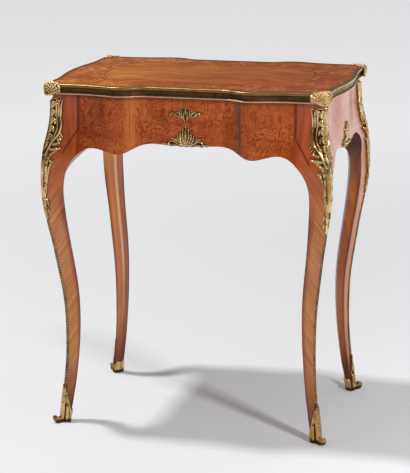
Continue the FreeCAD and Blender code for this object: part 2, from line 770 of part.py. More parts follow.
def lock_block(high):
    return box(-LOCK_W / 2, LOCK_W / 2, -FRONT_IN_Y - LOCK_IN, -FRONT_IN_Y + LOCK_D - LOCK_IN, LOCK_LOW, high)


def lock_screw_places():
    levels = (LOCK_LOW + LOCK_SCREW_UP, LOCK_HIGH - LOCK_SCREW_DOWN)
    return [(side * (LOCK_W / 2 - LOCK_SCREW_IN), z) for side in (-1, 1) for z in levels]


def make_lock_screws():
    screws = []
    face_y = -FRONT_IN_Y + LOCK_D - LOCK_IN
    back = Vector(0, -1, 0)
    for x, z in lock_screw_places():
        place = Vector(x, face_y, z)
        head = Part.makeCone(LOCK_SCREW_HEAD_R, LOCK_SCREW_R, LOCK_SCREW_HEAD_H, place, back)
        shank = Part.makeCylinder(LOCK_SCREW_R, LOCK_D + LOCK_SCREW_BITE, place, back)
        screws.append(head.fuse(shank).removeSplitter())
    return Part.makeCompound(screws)


def bolt_blank(gap, low, high):
    middle_y = -FRONT_IN_Y + LOCK_D / 2 - LOCK_IN
    half_w = BOLT_W / 2 + gap
    half_d = BOLT_D / 2 + gap
    return box(-half_w, half_w, middle_y - half_d, middle_y + half_d, low, high)


def make_drawer_front(tails, screws, pins):
    blank = straight_front(-DRAWER_HALF, DRAWER_HALF, FRONT_IN_Y).cut(under_front_edge())
    front = mirror_y(blank)
    front = front.cut(box(-DRAWER_HALF, DRAWER_HALF, -STILE_Y * 2, 0, FRIEZE_Z - DRAWER_GAP, FRIEZE_Z))
    for tail in tails:
        front = front.cut(tail)
    front = front.cut(drawer_bottom_sheet()).cut(lock_block(FRIEZE_Z)).cut(screws).cut(pins)
    return front.cut(keyhole(-FRONT_FLAT_Y - 1, -FRONT_IN_Y))


# Gilt pins that hold the castings, and the screws that hold the top. Places of the pins on the legs by height,
# distance from the arris and thickness of the casting
LEG_PINS = [(702.0, 15.0, CHUTE_T), (586.0, 15.0, CHUTE_T), (16.0, 12.0, SABOT_WALL)]
SIDE_PINS = [(-24.0, 615.0), (24.0, 615.0)]
DRAWER_PINS = [(22.0, 695.0, PLATE_T), (28.0, 630.0, DRAWER_MOUNT_T)]


def pin(head, inward):
    dome = Part.makeSphere(PIN_HEAD_R, head, inward * -1, 0, 90, 360)
    return dome.fuse(Part.makeCylinder(PIN_SHANK_R, PIN_L, head, inward)).removeSplitter()


def leg_pins():
    """Pins of one corner: two in each wing of the chute, one in each side of the sabot."""
    pins = []
    for z, back, thick in LEG_PINS:
        front = on_face(z, back, thick)
        inward = in_from_arris(on_face(z, back, 0), z) - in_from_arris(front, z)
        pins.append(pin(in_from_arris(front, z), inward.normalize()))
        side = in_from_arris(Vector(front.y, front.x, 0), z)
        pins.append(pin(side, Vector(inward.y, inward.x, 0)))
    return pins


def side_mount_pins():
    return [pin(Vector(SIDE_X + PLATE_T, y, z), Vector(-1, 0, 0)) for y, z in SIDE_PINS]


def drawer_pins():
    return [pin(Vector(side * x, -FRONT_FLAT_Y - thick, z), Vector(0, 1, 0))
            for x, z, thick in DRAWER_PINS for side in (-1, 1)]


def in_four_quarters(shapes):
    half = shapes + [mirror_x(shape) for shape in shapes]
    return half + [mirror_y(shape) for shape in half]


def fixing_blocks():
    low = FRIEZE_Z - BLOCK_SIZE
    along_side = box(APRON_IN_X - BLOCK_SIZE, APRON_IN_X, SIDE_BLOCK_Y, SIDE_BLOCK_Y + BLOCK_L, low, FRIEZE_Z)
    along_back = box(BACK_BLOCK_X, BACK_BLOCK_X + BLOCK_L, APRON_IN_Y - BLOCK_SIZE, APRON_IN_Y, low, FRIEZE_Z)
    return [along_side, along_back]


def fixing_screw(block):
    middle = block.BoundBox.Center
    foot = Vector(middle.x, middle.y, block.BoundBox.ZMin)
    head = Part.makeCone(SCREW_HEAD_R, SCREW_R, SCREW_R, foot)
    return head.fuse(Part.makeCylinder(SCREW_R, SCREW_L, foot)).removeSplitter()


def save_corners(name, shape):
    for corner, copy in corner_set(shape).items():
        save(name + "_" + corner, copy)


def save_pair(name, shape):
    save(name + "_right", shape)
    save(name + "_left", mirror_x(shape))


def build_carcass():
    corner_pins = Part.makeCompound(leg_pins())
    save_corners("leg", make_leg().cut(corner_pins))
    save_pair("front_block", mirror_y(front_block()))
    save("back_apron", make_back_apron())
    apron = make_side_apron()
    mount_pins = Part.makeCompound(side_mount_pins())
    save_pair("side_mount", make_side_mount().cut(mount_pins))
    save_pair("side_apron", apron.cut(mount_pins))
    save_corners("chute", make_chute().cut(corner_pins))
    save_corners("leg_bead", make_leg_bead())
    save_corners("sabot", make_sabot().cut(corner_pins))
    pins = in_four_quarters(leg_pins()) + side_mount_pins()
    save("mount_pins", Part.makeCompound(pins + [mirror_x(one) for one in side_mount_pins()]))


def build_drawer_case():
    rail_y0 = -FRONT_IN_Y + RAIL_SET_BACK
    rail_y1 = rail_y0 + RAIL_W
    rail_half = CHEEK_IN + HOUSING
    runner_low = RUNNER_Z - RUNNER_T
    top_rail = box(-rail_half, rail_half, rail_y0, rail_y1, FRIEZE_Z - RAIL_T, FRIEZE_Z)
    bottom_rail = box(-rail_half, rail_half, rail_y0, rail_y1, runner_low, RUNNER_Z)
    cheek = box(CHEEK_IN, CHEEK_IN + CHEEK_T, -APRON_IN_Y, APRON_IN_Y, RUNNER_Z - RAIL_T, FRIEZE_Z)
    save_pair("drawer_cheek", cheek.cut(top_rail).cut(bottom_rail))
    save("front_top_rail", top_rail)
    save("front_bottom_rail", bottom_rail)
    runner_in = CHEEK_IN - RUNNER_W
    save_pair("drawer_runner", box(runner_in, CHEEK_IN, rail_y1, APRON_IN_Y, runner_low, RUNNER_Z))
    save_pair("drawer_kicker", box(runner_in, CHEEK_IN, rail_y1, APRON_IN_Y, KICKER_Z, FRIEZE_Z))
    stop = box(CHEEK_IN - STOP_W, CHEEK_IN, DRAWER_END + STOP_GAP, APRON_IN_Y, RUNNER_Z, RUNNER_Z + STOP_H)
    save("drawer_stops", Part.makeCompound([stop, mirror_x(stop)]))


def build_top():
    blocks = in_four_quarters(fixing_blocks())
    screws = [fixing_screw(block) for block in blocks]
    all_screws = Part.makeCompound(screws)
    save("top_fixing_blocks", Part.makeCompound([block.cut(screw) for block, screw in zip(blocks, screws)]))
    save("top_fixing_screws", all_screws)
    mortise = bolt_blank(MORTISE_GAP, FRIEZE_Z - 1, FRIEZE_Z + MORTISE_DEPTH)
    board = plan_slab(BOARD_OVER, FRIEZE_Z, TOP_Z - VENEER_T)
    save("top_board", board.cut(all_screws).cut(mortise))
    reserve = reserve_wire()
    ring = reserve.makeOffset2D(STRINGING_W)
    save("top_centre_reserve", veneer(reserve))
    save("top_stringing", veneer(ring).cut(veneer(reserve)))
    border = plan_slab(BOARD_OVER, TOP_Z - VENEER_T, TOP_Z)
    save("top_marquetry_border", border.cut(veneer(ring)))
    back_moulding = make_back_moulding()
    save("edge_moulding_back", back_moulding)
    save("edge_moulding_front", mirror_y(back_moulding))
    right_moulding = make_right_moulding()
    save_pair("edge_moulding", right_moulding)
    top_slab = plan_slab(BOARD_OVER, FRIEZE_Z, TOP_Z)
    save_corners("corner_mount", make_corner_mount([top_slab, back_moulding, right_moulding, LEG_BLANK]))


def build_drawer():
    inner = SIDE_OUT - SIDE_T
    tails = dovetails(inner, SIDE_OUT)
    screws = make_lock_screws()
    pins = Part.makeCompound(drawer_pins())
    save_pair("drawer_side", make_drawer_side())
    save("drawer_front", make_drawer_front([tails, mirror_x(tails)], screws, pins))
    back_low = BOTTOM_Z + BOTTOM_T
    back_high = DRAWER_HIGH - BACK_DROP
    save("drawer_back", box(-inner, inner, DRAWER_END - SIDE_T, DRAWER_END, back_low, back_high))
    save("drawer_bottom", drawer_bottom_sheet())
    save("escutcheon", make_escutcheon().cut(pins))
    save("drawer_mount", make_drawer_mount().cut(pins))
    save("drawer_mount_pins", pins)
    save("lock_bolt", bolt_blank(0, BOLT_TOP - BOLT_H, BOLT_TOP))
    room = bolt_blank(BOLT_GAP, LOCK_LOW + LOCK_FLOOR, LOCK_HIGH + 1)
    case = lock_block(LOCK_HIGH).cut(room).cut(screws)
    save("lock_case", case.cut(keyhole(-FRONT_IN_Y - LOCK_IN - 1, -FRONT_IN_Y)))
    save("lock_screws", screws)


build_carcass()
build_drawer_case()
build_top()
build_drawer()
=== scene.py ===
import json
import math

import bpy
import numpy as np
from mathutils import Matrix, Vector
from mathutils.bvhtree import BVHTree

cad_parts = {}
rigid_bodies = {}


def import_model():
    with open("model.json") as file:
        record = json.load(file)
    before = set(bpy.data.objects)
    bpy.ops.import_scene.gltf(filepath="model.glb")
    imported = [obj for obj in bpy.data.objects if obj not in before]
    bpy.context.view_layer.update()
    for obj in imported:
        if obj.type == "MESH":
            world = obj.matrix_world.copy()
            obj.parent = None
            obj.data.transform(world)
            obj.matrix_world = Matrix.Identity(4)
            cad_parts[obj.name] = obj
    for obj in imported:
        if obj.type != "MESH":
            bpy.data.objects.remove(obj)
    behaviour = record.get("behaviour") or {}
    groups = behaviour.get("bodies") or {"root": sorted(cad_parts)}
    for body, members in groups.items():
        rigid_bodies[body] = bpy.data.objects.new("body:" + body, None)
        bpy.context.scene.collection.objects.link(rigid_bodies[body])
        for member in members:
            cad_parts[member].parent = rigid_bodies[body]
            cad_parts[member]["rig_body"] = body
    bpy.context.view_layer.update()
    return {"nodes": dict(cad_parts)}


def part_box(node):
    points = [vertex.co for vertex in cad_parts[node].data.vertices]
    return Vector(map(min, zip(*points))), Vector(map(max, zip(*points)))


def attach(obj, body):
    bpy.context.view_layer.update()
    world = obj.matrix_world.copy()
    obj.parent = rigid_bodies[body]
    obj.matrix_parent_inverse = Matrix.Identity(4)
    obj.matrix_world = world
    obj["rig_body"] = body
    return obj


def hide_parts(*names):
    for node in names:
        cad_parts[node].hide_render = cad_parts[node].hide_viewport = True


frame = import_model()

# The four cabriole legs. Beech, sawn to shape from two sides and rounded on the inner arris, then veneered
# with striped tulipwood laid on the slant, so that the stripes of the two outer faces meet in a chevron.
MM = 0.001
MERGE_DISTANCE = 0.002 * MM
SMOOTH_ANGLE = math.radians(35)
CORNERS = {"front_left": (-1, -1), "front_right": (1, -1), "back_left": (-1, 1), "back_right": (1, 1)}


def pick(piece):
    """Leaves one piece selected and active."""
    bpy.ops.object.select_all(action="DESELECT")
    piece.select_set(True)
    bpy.context.view_layer.objects.active = piece


def smooth_copy(node, name):
    """A new piece with the shape of a CAD node, its triangles merged and its curves shaded smooth."""
    piece = bpy.data.objects.new(name, frame["nodes"][node].data.copy())
    bpy.context.collection.objects.link(piece)
    pick(piece)
    bpy.ops.mesh.customdata_custom_splitnormals_clear()
    bpy.ops.object.mode_set(mode="EDIT")
    bpy.ops.mesh.select_all(action="SELECT")
    bpy.ops.mesh.remove_doubles(threshold=MERGE_DISTANCE)
    bpy.ops.mesh.normals_make_consistent(inside=False)
    bpy.ops.object.mode_set(mode="OBJECT")
    bpy.ops.object.shade_smooth_by_angle(angle=SMOOTH_ANGLE)
    return piece


def stand_for(piece, node, material):
    """The piece takes the place of a CAD node, which is hidden: it gets the node's body and a finish."""
    piece.data.materials.clear()
    piece.data.materials.append(material)
    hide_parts(node)
    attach(piece, frame["nodes"][node]["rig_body"])


def refinish(node, name, material):
    """A smooth copy with a finish takes the place of a CAD node."""
    stand_for(smooth_copy(node, name), node, material)


def colour(red, green, blue):
    """A colour named by its brightness on screen, 0 to 255, as the shader's own linear values."""
    def linear(level):
        share = level / 255
        return share / 12.92 if share <= 0.04045 else ((share + 0.055) / 1.055) ** 2.4
    return (linear(red), linear(green), linear(blue), 1.0)


class Wire:
    """A value in a shader, reckoned with like a number: each step of the sum becomes a node."""

    def __init__(self, socket):
        self.socket = socket

    def __add__(self, other):
        return calc("ADD", self, other)

    def __sub__(self, other):
        return calc("SUBTRACT", self, other)

    def __rsub__(self, other):
        return calc("SUBTRACT", other, self)

    def __mul__(self, other):
        return calc("MULTIPLY", self, other)

    def __truediv__(self, other):
        return calc("DIVIDE", self, other)

    def __abs__(self):
        return calc("ABSOLUTE", self)

    __radd__ = __add__
    __rmul__ = __mul__


def tree_of(*values):
    """The node tree that shader values belong to."""
    return next(value.socket.id_data for value in values if isinstance(value, Wire))


def give(socket, value):
    """Sets a shader socket, or links a value of the same shader to it."""
    if isinstance(value, Wire):
        tree_of(value).links.new(value.socket, socket)
    else:
        socket.default_value = value


def add(tree, kind, *inputs, **settings):
    """A shader node with its settings, and its first inputs in their order."""
    made = tree.nodes.new("ShaderNode" + kind)
    for key, value in settings.items():
        setattr(made, key, value)
    for socket, value in zip(made.inputs, inputs):
        give(socket, value)
    return made


def calc(operation, *inputs):
    """One step of a sum on shader values."""
    return Wire(add(tree_of(*inputs), "Math", *inputs, operation=operation).outputs[0])


def limit(value, low, high, how="LINEAR"):
    """The value's place between low and high, from 0 to 1."""
    made = add(tree_of(value), "MapRange", value, low, high, 0.0, 1.0, interpolation_type=how)
    return Wire(made.outputs[0])


def vector(x, y, z):
    """Three values as one vector."""
    return Wire(add(tree_of(x, y, z), "CombineXYZ", x, y, z).outputs[0])


def split(place):
    """A vector's x, y and z."""
    return [Wire(socket) for socket in add(tree_of(place), "SeparateXYZ", place).outputs]


def vector_calc(operation, *inputs, output="Vector"):
    """One step of a sum on vectors."""
    return Wire(add(tree_of(*inputs), "VectorMath", *inputs, operation=operation).outputs[output])


def noise(place, scale, detail, output=0):
    """Soft noise at a place, as a value or as a colour."""
    made = add(tree_of(place), "TexNoise")
    give(made.inputs["Vector"], place)
    give(made.inputs["Scale"], scale)
    give(made.inputs["Detail"], detail)
    return Wire(made.outputs[output])


def mix(share, first, second, how="MIX"):
    """Two colours laid over each other."""
    made = add(tree_of(share, first, second), "Mix", data_type="RGBA", blend_type=how)
    for index, value in ((0, share), (6, first), (7, second)):
        give(made.inputs[index], value)
    return Wire(made.outputs[2])


def new_group(name, inputs, outputs):
    """An empty shader node group: its tree, the values given to it and the sockets it puts out."""
    tree = bpy.data.node_groups.new(name, "ShaderNodeTree")
    for label, kind in inputs:
        tree.interface.new_socket(label, in_out="INPUT", socket_type="NodeSocket" + kind)
    for label, kind in outputs:
        tree.interface.new_socket(label, in_out="OUTPUT", socket_type="NodeSocket" + kind)
    sockets = tree.nodes.new("NodeGroupInput").outputs
    given = {label: Wire(sockets[label]) for label, kind in inputs}
    return tree, given, tree.nodes.new("NodeGroupOutput").inputs


def use_group(group, *inputs):
    """A node group put to use: the values that it gives."""
    made = add(tree_of(*inputs), "Group", *inputs, node_tree=group)
    return [Wire(socket) for socket in made.outputs]


def build_laid_wood():
    """Wood as it lies in a veneer: broad stripes, slow clouds of tone, and fine fibres with open pores."""
    inputs = [("Along", "Float"), ("Across", "Float"), ("Through", "Float"), ("Stripe", "Float"),
              ("Dark", "Color"), ("Light", "Color")]
    tree, given, put = new_group("laid_wood", inputs, [("Colour", "Color"), ("Pores", "Float")])

    def grain(across_size, along_size, detail):
        across = given["Across"] / across_size
        along = given["Along"] / along_size
        through = given["Through"] / along_size
        return noise(vector(across, along, through), 1.0, detail)

    stripes = limit(grain(given["Stripe"], 0.14, 3.0), 0.32, 0.68)
    fibres = grain(0.8 * MM, 0.025, 2.0)
    clouds = limit(grain(0.06, 0.15, 2.0), 0.3, 0.7)
    tone = stripes * 0.62 + clouds * 0.26 + fibres * 0.24
    give(put["Colour"], mix(tone, given["Dark"], given["Light"]))
    give(put["Pores"], limit(fibres, 0.56, 0.72))
    return tree


LAID_WOOD = build_laid_wood()


def laid(wood, along, across, through):
    """The colour and pores of a wood: the width of its stripes, its dark and its light colour."""
    return use_group(LAID_WOOD, along, across, through, *wood)


def new_material(name):
    """A material with its shader, and the object's own coordinates: their vector and x, y and z."""
    material = bpy.data.materials.new(name)
    material.use_nodes = True
    tree = material.node_tree
    place = Wire(add(tree, "TexCoord").outputs["Object"])
    return material, tree.nodes["Principled BSDF"], place, split(place)


def facing(place):
    """Which way the surface at a place looks, as x, y and z."""
    return split(Wire(add(tree_of(place), "TexCoord").outputs["Normal"]))


def bumped(height, strength, distance, invert=False):
    """The surface's direction, bent by fine heights."""
    made = add(tree_of(height), "Bump", invert=invert)
    made.inputs["Strength"].default_value = strength
    made.inputs["Distance"].default_value = distance
    give(made.inputs["Height"], height)
    return Wire(made.outputs[0])


def polish(surface, place, shade, pores, dull=0.3, gloss=0.3, coat=0.12):
    """French polish over a veneer: soft gloss, dulled by handling, with the pores just showing."""
    handling = noise(place, 14.0, 4.0)
    give(surface.inputs["Base Color"], shade)
    give(surface.inputs["Roughness"], dull - 0.11 + handling * 0.22 + pores * 0.12)
    give(surface.inputs["Normal"], bumped(pores, 0.16, 0.2 * MM, invert=True))
    surface.inputs["Specular IOR Level"].default_value = gloss
    surface.inputs["Coat Weight"].default_value = coat
    surface.inputs["Coat Roughness"].default_value = 0.12


TULIPWOOD = (3.2 * MM, colour(156, 86, 50), colour(220, 156, 100))  # stripes, dark and light colour
AMBER_TINT = colour(255, 246, 218)      # its ground goes from amber to rose in slow patches
ROSE_TINT = colour(255, 240, 246)
VENEER_SLANT = math.radians(54)
KNEE_TINT = colour(224, 178, 142)       # the knees look redder, and the feet darker
KNEE_TINT_Z = (450 * MM, 570 * MM)
FOOT_TINT = colour(158, 128, 140)
FOOT_TINT_Z = (150 * MM, 45 * MM)
STILE_WOOD = (7 * MM, colour(140, 56, 26), colour(188, 92, 48))     # plain red veneer above the knees
STILE_Z = (570 * MM, 625 * MM)
LIP_SHADOW = colour(52, 28, 18)           # the painted shadow that the brass lip casts on the wood under it
LIP_SHADOW_Z = (718 * MM, 726.5 * MM)


def shadow_under_lip(z, shade):
    """The painted shadow of the brass lip on the wood right under it."""
    return mix(limit(z, *LIP_SHADOW_Z) * 0.7, shade, LIP_SHADOW)


def slanted_veneer(x, y, z):
    """The colour and pores of tulipwood laid on the slant, mirrored at the arrises."""
    reach = abs(x) + abs(y)
    across = z * math.cos(VENEER_SLANT) + reach * math.sin(VENEER_SLANT)
    along = z * math.sin(VENEER_SLANT) - reach * math.cos(VENEER_SLANT)
    wood, pores = laid(TULIPWOOD, along, across, x - y)
    patches = limit(noise(vector(x, y, z), 15.0, 1.0), 0.38, 0.62)
    wood = mix(1.0, wood, mix(patches, AMBER_TINT, ROSE_TINT), "MULTIPLY")
    wood = mix(limit(z, *KNEE_TINT_Z), wood, KNEE_TINT, "MULTIPLY")
    plain, _ = laid(STILE_WOOD, z, reach, x - y)
    return mix(limit(z, *STILE_Z), wood, plain), pores


STRINGING = colour(70, 34, 20)
STRING_X = 234.5 * MM           # stringing between the panels of the frieze and the legs
STRING_BEND_Z = 655.0 * MM      # below this it slants out to the chutes, where it ends
STRING_END_Z = 600.0 * MM
STRING_SLOPE = 0.62
STRING_HALF = 3.6 * MM
SIDE_SHIFT = 96.0 * MM          # the sides' stringing lies this much nearer to the middle


def leg_side(out, z):
    """How far a place lies beyond the stringing that parts a panel from the legs' veneer."""
    below = calc("MAXIMUM", STRING_BEND_Z - z, 0.0)
    return out - (below * STRING_SLOPE + STRING_X)


def string_line(beyond, z, shade):
    """The dark line of stringing itself."""
    line = limit(abs(beyond), STRING_HALF, STRING_HALF * 0.2) * 0.75
    return mix(line * limit(z, STRING_END_Z, STRING_END_Z + 4 * MM), shade, STRINGING)


UNDER_WOOD = (9 * MM, colour(142, 68, 34), colour(204, 120, 64))    # plain veneer of the inner faces
LEFT_LEGS_LIT = colour(222, 150, 98)            # the inner faces of the left legs are painted paler, as painted light
ARRIS_HIGHLIGHT = colour(246, 206, 168)          # and a painted highlight along their rounded inner arris
ARRIS_HIGHLIGHT_Z = (120 * MM, 300 * MM)
TURNED_SHADE = colour(206, 188, 184)     # painted shade on those that face across the table
UNDER_SHADE = colour(112, 104, 128)          # and painted shade on those of the right legs under the frieze
UNDER_SHADE_Z = (460 * MM, 580 * MM)
EDGE_SHADE = colour(176, 146, 146)       # painted shade along the side arrises below the knees
EDGE_SHADE_Z = (530 * MM, 470 * MM)
SIDE_BLEND = 50 * MM                    # left goes over into right this near to the middle
ROW_GAP = 96.0 * MM             # the legs stand this much further apart along the front than the sides
SHANK_HALF = 12.8 * MM          # half width of a leg at the floor, across its diagonal
SHANK_SPREAD = 0.0215           # and how much of its height it gains


def off_diagonal(x, y, z):
    """How far a place lies from a leg's diagonal: 0 on it, 1 on the side arrises."""
    off = abs(abs(x) - abs(y) - ROW_GAP) * math.sqrt(0.5)
    return off / (z * SHANK_SPREAD + SHANK_HALF)


def on_half(x, side):
    """1 on the left half of the table (side -1) or on the right one (side 1), and 0 on the other."""
    return limit(x, -side * SIDE_BLEND, side * SIDE_BLEND)


leg_veneer, surface, place, (x, y, z) = new_material("leg_veneer")
facing_x, facing_y, _ = facing(place)
sideways = limit(abs(facing_x), 0.6, 0.8)
outward = calc("MAXIMUM", facing_x * calc("SIGN", x), facing_y * calc("SIGN", y))
aside = off_diagonal(x, y, z)
wood, pores = slanted_veneer(x, y, z)
plain, _ = laid(UNDER_WOOD, z, x + y, y)
# painted light: the inner faces of the left legs paler
plain = mix(on_half(x, -1) * 0.35, plain, LEFT_LEGS_LIT)
# painted shade under the frieze on the inner faces of the right legs
plain = mix(limit(z, *UNDER_SHADE_Z) * on_half(x, 1), plain, UNDER_SHADE, "MULTIPLY")
# painted shade on the inner faces that look across the table
plain = mix(sideways, plain, TURNED_SHADE, "MULTIPLY")
# painted highlight along the rounded inner arris of the left legs
wear_and_highlight = limit(aside, 0.22, 0.05) * limit(z, *ARRIS_HIGHLIGHT_Z) * on_half(x, -1)
plain = mix(wear_and_highlight * 0.6, plain, ARRIS_HIGHLIGHT)
wood = mix(limit(outward, 0.4, 0.2), wood, plain)
wood = mix(limit(z, *FOOT_TINT_Z), wood, FOOT_TINT, "MULTIPLY")
# painted shade along the side arrises below the knees
wood = mix(limit(aside, 0.7, 0.98) * limit(z, *EDGE_SHADE_Z), wood, EDGE_SHADE, "MULTIPLY")
front_wood = string_line(leg_side(abs(x), z), z, wood)
side_wood = string_line(leg_side(abs(y) + SIDE_SHIFT, z), z, wood)
# with the painted shadow under the brass lip
wood = shadow_under_lip(z, mix(sideways, front_wood, side_wood))
polish(surface, place, wood, pores)

FOOT_Z = 70.0 * MM              # below this a foot draws in to the toe
FOOT_KEEP = (8.0 * MM, 11.0 * MM)   # what lies this near to the arris, across and along the diagonal, stays
FOOT_DRAW = (0.5, 0.4)          # how far the rest draws in at the floor
FOOT_REACH = 481.0 * MM         # the arris at the floor, as the sum of both distances from the middle


def draw_in_foot(piece, corner):
    """Tapers a foot, or the shoe on it, towards the toe, so that its corners don't stand out."""
    sx, sy = CORNERS[corner]
    root = math.sqrt(0.5)
    for vertex in piece.data.vertices:
        share = min(max(1 - vertex.co.z / FOOT_Z, 0), 1)
        across = (sx * vertex.co.x - sy * vertex.co.y - ROW_GAP) * root
        along = (sx * vertex.co.x + sy * vertex.co.y - FOOT_REACH) * root
        wide = max(abs(across) - FOOT_KEEP[0], 0) * FOOT_DRAW[0] * share
        deep = max(-along - FOOT_KEEP[1], 0) * FOOT_DRAW[1] * share
        across_step = -math.copysign(wide, across)
        vertex.co.x += sx * (deep + across_step) * root
        vertex.co.y += sy * (deep - across_step) * root


for corner in CORNERS:
    leg = smooth_copy("leg_" + corner, "veneered_leg_" + corner)
    draw_in_foot(leg, corner)
    stand_for(leg, "leg_" + corner, leg_veneer)

# The frieze: two swelling blocks beside the drawer, the back and the two bowed sides. Oak, veneered with
# red-brown kingwood, inlaid with scrolling foliage in a paler fruitwood and framed by dark stringing.
KINGWOOD = (14 * MM, colour(126, 46, 16), colour(172, 76, 29))
FRUITWOOD = (14 * MM, colour(190, 94, 38), colour(228, 134, 64))
INLAY_INPUTS = [(label, "Float") for label in ("U", "V", "Centre U", "Centre V", "Size", "Turn", "Hand")]


def turned(given):
    """The place on the panel, seen from a motif's own centre, turn, hand and size."""
    u = given["U"] - given["Centre U"]
    v = given["V"] - given["Centre V"]
    cos = calc("COSINE", given["Turn"])
    sin = calc("SINE", given["Turn"])
    along = (u * cos + v * sin) / given["Size"]
    aside = (v * cos - u * sin) * given["Hand"] / given["Size"]
    return along, aside


def round_centre(along, aside):
    """How far a place lies from a motif's centre, and in which direction."""
    radius = vector_calc("LENGTH", vector(along, aside, 0.0), output="Value")
    return radius, calc("ARCTAN2", aside, along)


def scroll(along, aside):
    """A leafy stem that winds in to a bud: the arms of a spiral, lobed along their edges."""
    radius, angle = round_centre(along, aside)
    radius = calc("MAXIMUM", radius, 0.01)
    winding = angle * (0.5 / math.pi) - calc("LOGARITHM", radius, math.e) * 1.05
    off_arm = abs(calc("FRACT", winding) - 0.5)
    lobes = abs(calc("SINE", angle * 3.5))
    arm = limit(lobes * 0.12 + 0.16 - off_arm, 0.0, 0.03)
    inside = limit(radius, 1.0, 0.97)
    bud = limit(radius, 0.17, 0.14)
    return calc("MAXIMUM", arm * inside, bud)


def leaf(along, aside):
    """A bent leaf with a lobed edge, cut in two along its vein."""
    aside = abs(aside - along * along * 0.3)
    within = calc("MINIMUM", calc("MAXIMUM", along, 0.0), 1.0)
    swell = calc("SINE", calc("POWER", within, 0.75) * math.pi)
    lobes = abs(calc("SINE", within * (4 * math.pi)))
    blade = limit(swell * (lobes * 0.1 + 0.17) - aside, 0.0, 0.03)
    vein = limit(aside, 0.008, 0.025)
    return blade * vein


def flower(along, aside):
    """An open flower of five petals round an eye."""
    radius, angle = round_centre(along, aside)
    petal = calc("POWER", abs(calc("COSINE", angle * 2.5)), 0.6)
    blade = limit(petal * 0.55 + 0.42 - radius, 0.0, 0.06)
    eye = limit(radius, 0.2, 0.26)
    return blade * eye


def build_motif(name, shape):
    """A motif of the inlay as a node group, which puts out where its wood lies."""
    tree, given, put = new_group("inlaid_" + name, INLAY_INPUTS, [("Mask", "Float")])
    give(put["Mask"], shape(*turned(given)))
    return tree


SHAPES = {"scroll": scroll, "leaf": leaf, "flower": flower}
MOTIFS = {name: build_motif(name, shape) for name, shape in SHAPES.items()}


def inlay_mask(u, v, design):
    """Where the paler wood lies: the motifs of a design, each with its centre, size, turn and hand."""
    mask = 0.0
    for motif, centre_u, centre_v, size, turn, hand in design:
        values = (u, v, centre_u * MM, centre_v * MM, size * MM, math.radians(turn), float(hand))
        mask = calc("MAXIMUM", mask, use_group(MOTIFS[motif], *values)[0])
    return mask


def inlaid_veneer(along, across, through, mask):
    """Kingwood ground with fruitwood let into it, polished down together: the colour and pores."""
    ground, pores = laid(KINGWOOD, along, across, through)
    paler, _ = laid(FRUITWOOD, across, along, through)
    clear = limit(noise(vector(along, across, through), 28.0, 2.0), 0.35, 0.65) * 0.3 + 0.25
    shade = mix(mask * clear, ground, paler)
    rim = mask * (1.0 - mask)
    return mix(rim * 0.9, shade, STRINGING), pores


# Foliage of the frieze in one cell of its pattern, which is laid mirrored side by side and over one another
CELL_W = 25.0
CELL_H = 43.0
CELL_LOW = 588.0 * MM
SWAY = 0.05                     # how freely the foliage is drawn
FOLIAGE = [
    ("scroll", 14, 11, 12, 30, 1), ("scroll", 12, 32, 11.5, 210, -1), ("scroll", 23, 22, 7, 100, 1),
    ("leaf", 2.5, 18, 12, 50, 1), ("leaf", 20.5, 40.5, 13, 215, 1), ("leaf", 1, 2.5, 11, 70, -1),
    ("leaf", 18.5, 2.5, 9, 20, 1), ("leaf", 4.5, 39, 9, -50, -1), ("flower", 0, 25, 5, 90, 1),
    ("flower", 25, 0, 5, 0, 1),
]


def foliage(place, across, z, size=1.0):
    """The mask of the repeating foliage, by distance from the middle of a panel and by height."""
    swayed = []
    for value, shift in ((across / size, (0, 0, 0)), ((z - CELL_LOW) / size, (3, 5, 7))):
        swayed.append(noise(vector_calc("ADD", place, shift), 30.0, 2.0) * SWAY + value)
    u = calc("PINGPONG", swayed[0], CELL_W * MM)
    v = calc("PINGPONG", swayed[1], CELL_H * MM)
    return inlay_mask(u, v, FOLIAGE)


def framed_panel(axes, beyond, shade):
    """A panel's veneer inside its stringing, and the legs' slanted veneer outside it."""
    leg_wood, _ = slanted_veneer(*axes)
    shade = mix(limit(beyond, 0.0, 0.2 * MM), shade, leg_wood)
    return string_line(beyond, axes[2], shade)


PANEL_MIDDLE = 178.0 * MM       # of a block, from the middle of the table
PANEL_END = (234 * MM, 228 * MM)    # the foliage ends here
MIDDLE_HALF = 117.5 * MM        # half the middle panel, which is the drawer at the front
# Painted highlight on the left and painted shade on the right beside the upright joints: half of the table,
# reach and core of its band beside a joint, strength and colour
JOINT_LIGHT_AND_SHADE = (
    (-1, 14 * MM, 3 * MM, 0.44, colour(206, 128, 64)),
    (1, 8 * MM, 2.5 * MM, 0.7, colour(108, 74, 60)),
)


def joint_highlight_and_shade(x, shade):
    """The panels' edges at the upright joints: paler on the left as a painted highlight, duller and greyer
    on the right as painted shade and reflection.
    """
    off = abs(abs(x) - MIDDLE_HALF)
    for side, reach, core, strength, tint in JOINT_LIGHT_AND_SHADE:
        shade = mix(limit(off, reach, core) * on_half(x, side) * strength, shade, tint)
    return shade


FRIEZE_GLOSS = (0.32, 0.14, 0.04)   # roughness, gloss and coat of its polish
LEFT_SHADE = colour(236, 228, 236)   # painted shade: the left block a little darker
LEFT_SHADE_X = (-140 * MM, -180 * MM)

block_veneer, surface, place, (x, y, z) = new_material("block_veneer")
out = abs(x)
mask = foliage(place, abs(out - PANEL_MIDDLE), z) * limit(out, *PANEL_END)
wood, pores = inlaid_veneer(z, x, y, mask)
# painted shade on the left block
wood = mix(limit(x, *LEFT_SHADE_X), wood, LEFT_SHADE, "MULTIPLY")
# with the painted highlight and shade beside the joints
wood = framed_panel((x, y, z), leg_side(out, z), joint_highlight_and_shade(x, wood))
# with the painted shadow under the brass lip
polish(surface, place, shadow_under_lip(z, wood), pores, *FRIEZE_GLOSS)

